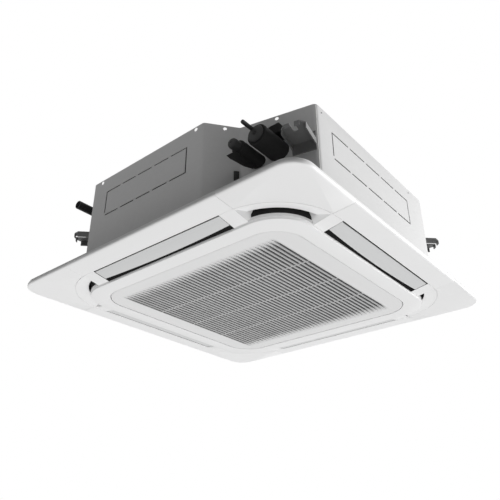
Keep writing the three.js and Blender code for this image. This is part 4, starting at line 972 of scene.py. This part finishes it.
pale_screws = merged("wall_screws", [
    screw(LEFT_WALL, 36.1, 303.4), screw(LEFT_WALL, 404.9, 303.4), screw(NOTCH_WALL, 54.2, 301.5),
    screw(PIPING_WALL, 100.65, 303)])
piece(pale_screws, "housing", "plain_steel", look=pale_screw_look)
small_screws = merged("front_screws", [
    screw(FRONT_WALL, 23, 297, 2.4), screw(FRONT_WALL, 483.9, 300.1, 2.4), screw(FRONT_WALL, 520, 100, 2.4)])
piece(small_screws, "housing", "plain_steel", look=grey_screw_look)
clip = merged("corner_clip", [
    wall_block("clip", NOTCH_WALL, (0.2, 4), (77, 90), (150, 176)),
    wall_block("clip_foot", NOTCH_WALL, (0.2, 6), (82, 93), (146, 154))])
piece(soften(clip, 0.5), "housing", "black_rubber")

# %% [markdown]
# ## Piping corner and drain
# The refrigerant pipes leave in black foam sleeves and are closed with black transport caps. The
# sleeves and caps are turned about their own axes. The wrap of the lower sleeve ends in a loose tail.

# %% Sleeves and tubes
GAS, LIQUID, SERVICE = (-313, 203), (-261, 190), (-303, 221)
gas_sleeve = turned_bar("gas_sleeve_skin", (-300, *GAS), (-397, *GAS), [
    (0, 27), (93, 27), (95.6, 26.2), (97, 24), (97, 18), (95, 16.3), (82, 16.2), (0, 16.2), (0, 27)], 64)
piece(gas_sleeve, "housing", "pipe_foam", "gas_sleeve")
liquid_sleeve = turned_bar("liquid_sleeve_skin", (-290, *LIQUID), (-401, *LIQUID), [
    (0, 19), (107.6, 19), (110, 18.2), (111, 16), (111, 7), (109, 5.4), (0, 5.3), (0, 19)], 64)
piece(liquid_sleeve, "housing", "pipe_foam", "liquid_sleeve")
service_tube = turned_bar("service_tube_skin", (-300, *SERVICE), (-436, *SERVICE), [
    (0, 5), (133, 5), (135.2, 4.4), (136, 3), (136, 0.3)], 32)
piece(service_tube, "housing", "dark_plastic", "service_tube")
drain_outlet = turned_bar("drain_outlet_skin", (-327.3, *DRAIN), (-416, *DRAIN), [
    (0, 12.5), (87.6, 12.5), (88.7, 11.6), (88.7, 10.6), (87.6, 10), (18, 10), (18, 2), (0, 2), (0, 12.5)])
piece(drain_outlet, "housing", "dark_plastic", "drain_outlet")

# %% Transport caps
gas_cap = turned_bar("gas_cap", (-396, *GAS), (-410, *GAS), [
    (3.3, 0.3), (3.3, 15.4), (-1.5, 15.4), (-1.5, 15.9), (1.4, 15.9), (1.7, 20.6), (3.4, 21.6), (5.4, 20.4),
    (6.6, 17), (7.2, 8), (6.6, 5), (4.4, 4.2), (4.4, 0.3)])
liquid_cap = turned_bar("liquid_cap", (-401.5, *LIQUID), (-425, *LIQUID), [
    (-0.3, 11.2), (0.2, 13.4), (16, 13.2), (20, 12), (22.6, 9), (23.2, 4), (22.4, 2.4), (21, 2.2), (21, 0.3),
    (19.2, 0.3), (19.2, 11.2), (-0.3, 11.2)])
piece(gas_cap, "housing", "black_rubber")
piece(liquid_cap, "housing", "black_rubber")

# %% Wrap tail
tail_edge = np.array([(-330, 172.5), (-402, 172.5), (-420, 163), (-437, 146), (-425, 144), (-377, 150),
                      (-345, 160)])
tail_rows = np.stack([np.insert(tail_edge, 1, y, axis=1) for y in (-263.5, -258.5)])
piece(soften(loft("wrap_tail", tail_rows), 0.9, 3), "housing", "pipe_foam")

# %% [markdown]
# ## Fan
# Behind the grille the bell mouth leads air to the impeller. Its throat is a quarter of an ellipse
# turned about the fan's axis, and its flange closes the drain pan's hole.

# %% Bell mouth
THROAT, MOUTH = 163, 250
FLANGE_FOOT, FLANGE_TOP, THROAT_TOP = 44.8, 47.8, 120.8

sweep = np.linspace(0, HALF_PI, 17)
bell_radius = THROAT + (MOUTH - THROAT) * (1 - np.sin(sweep))
bell_height = FLANGE_TOP + 66 * (1 - np.cos(sweep))
bell_in = list(zip(bell_radius, bell_height))
bell_out = list(zip(bell_radius + 3, bell_height + 0.6))
bell_in[0], bell_out[0] = (MOUTH, FLANGE_FOOT), (MOUTH + 3, FLANGE_FOOT + 1.5)
funnel = spun("funnel", [*bell_in, (THROAT, THROAT_TOP), (THROAT + 3, THROAT_TOP), *reversed(bell_out)])
flange = square_plate("flange", 300, FLANGE_FOOT, FLANGE_TOP)
boolean(flange, [spun("hole", [(0.01, 30), (MOUTH + 1.5, 30), (MOUTH + 1.5, 60), (0.01, 60)])])
piece(merged("bell_mouth_skin", [funnel, flange]), "housing", "dark_plastic", "bell_mouth")

# %% [markdown]
# ## Light
# The studio is white behind the object and softly lit from below, so the panel is even. One broad
# lamp from the right reaches only the walls that face it, and the others stay grey.

# %% World
world = bpy.data.worlds.new("studio")
bpy.context.scene.world = world
world.use_nodes = True
studio = Nodes(world.node_tree)
studio.tree.nodes.clear()
direction = studio.add("ShaderNodeTexCoord").outputs["Generated"]


def lobe(axis, power, gain):
    """Light that grows towards one direction, as the cosine of the angle to it raised to a power."""
    dot = studio.add("ShaderNodeVectorMath", operation="DOT_PRODUCT")
    studio.link(direction, dot.inputs[0])
    dot.inputs[1].default_value = Vector(axis).normalized()
    facing = studio.math("MAXIMUM", dot.outputs["Value"], 0.0)
    return studio.math("MULTIPLY", studio.math("POWER", facing, power), gain)


from_below, from_above, all_round = lobe((-0.03, -0.13, -1), 4, 3.15), lobe((0, 0, 1), 2, 0.4), 0.04
surround = studio.add("ShaderNodeBackground")
strength = studio.math("ADD", studio.math("ADD", from_below, from_above), all_round)
studio.link(strength, surround.inputs["Strength"])
backdrop = studio.add("ShaderNodeBackground")
backdrop.inputs["Color"].default_value = (1, 1, 1, 1)
path = studio.add("ShaderNodeLightPath").outputs
seen = studio.math("MAXIMUM", path["Is Camera Ray"], path["Is Glossy Ray"])
seen = studio.math("MAXIMUM", seen, path["Is Transmission Ray"])
blend = studio.add("ShaderNodeMixShader")
studio.link(seen, blend.inputs["Fac"])
studio.link(surround.outputs["Background"], blend.inputs[1])
studio.link(backdrop.outputs["Background"], blend.inputs[2])
output = studio.add("ShaderNodeOutputWorld")
studio.link(blend.outputs["Shader"], output.inputs["Surface"])

# %% Lamp
lamp_data = bpy.data.lights.new("key", "SUN")
lamp_data.energy = 3.6
lamp_data.angle = math.radians(16)
lamp = bpy.data.objects.new("key", lamp_data)
lamp.rotation_mode = "QUATERNION"
lamp.rotation_quaternion = Vector((-0.79, 0.6, -0.12)).to_track_quat("-Z", "Y")
bpy.context.scene.collection.objects.link(lamp)

bpy.context.scene.view_settings.view_transform = "Standard"
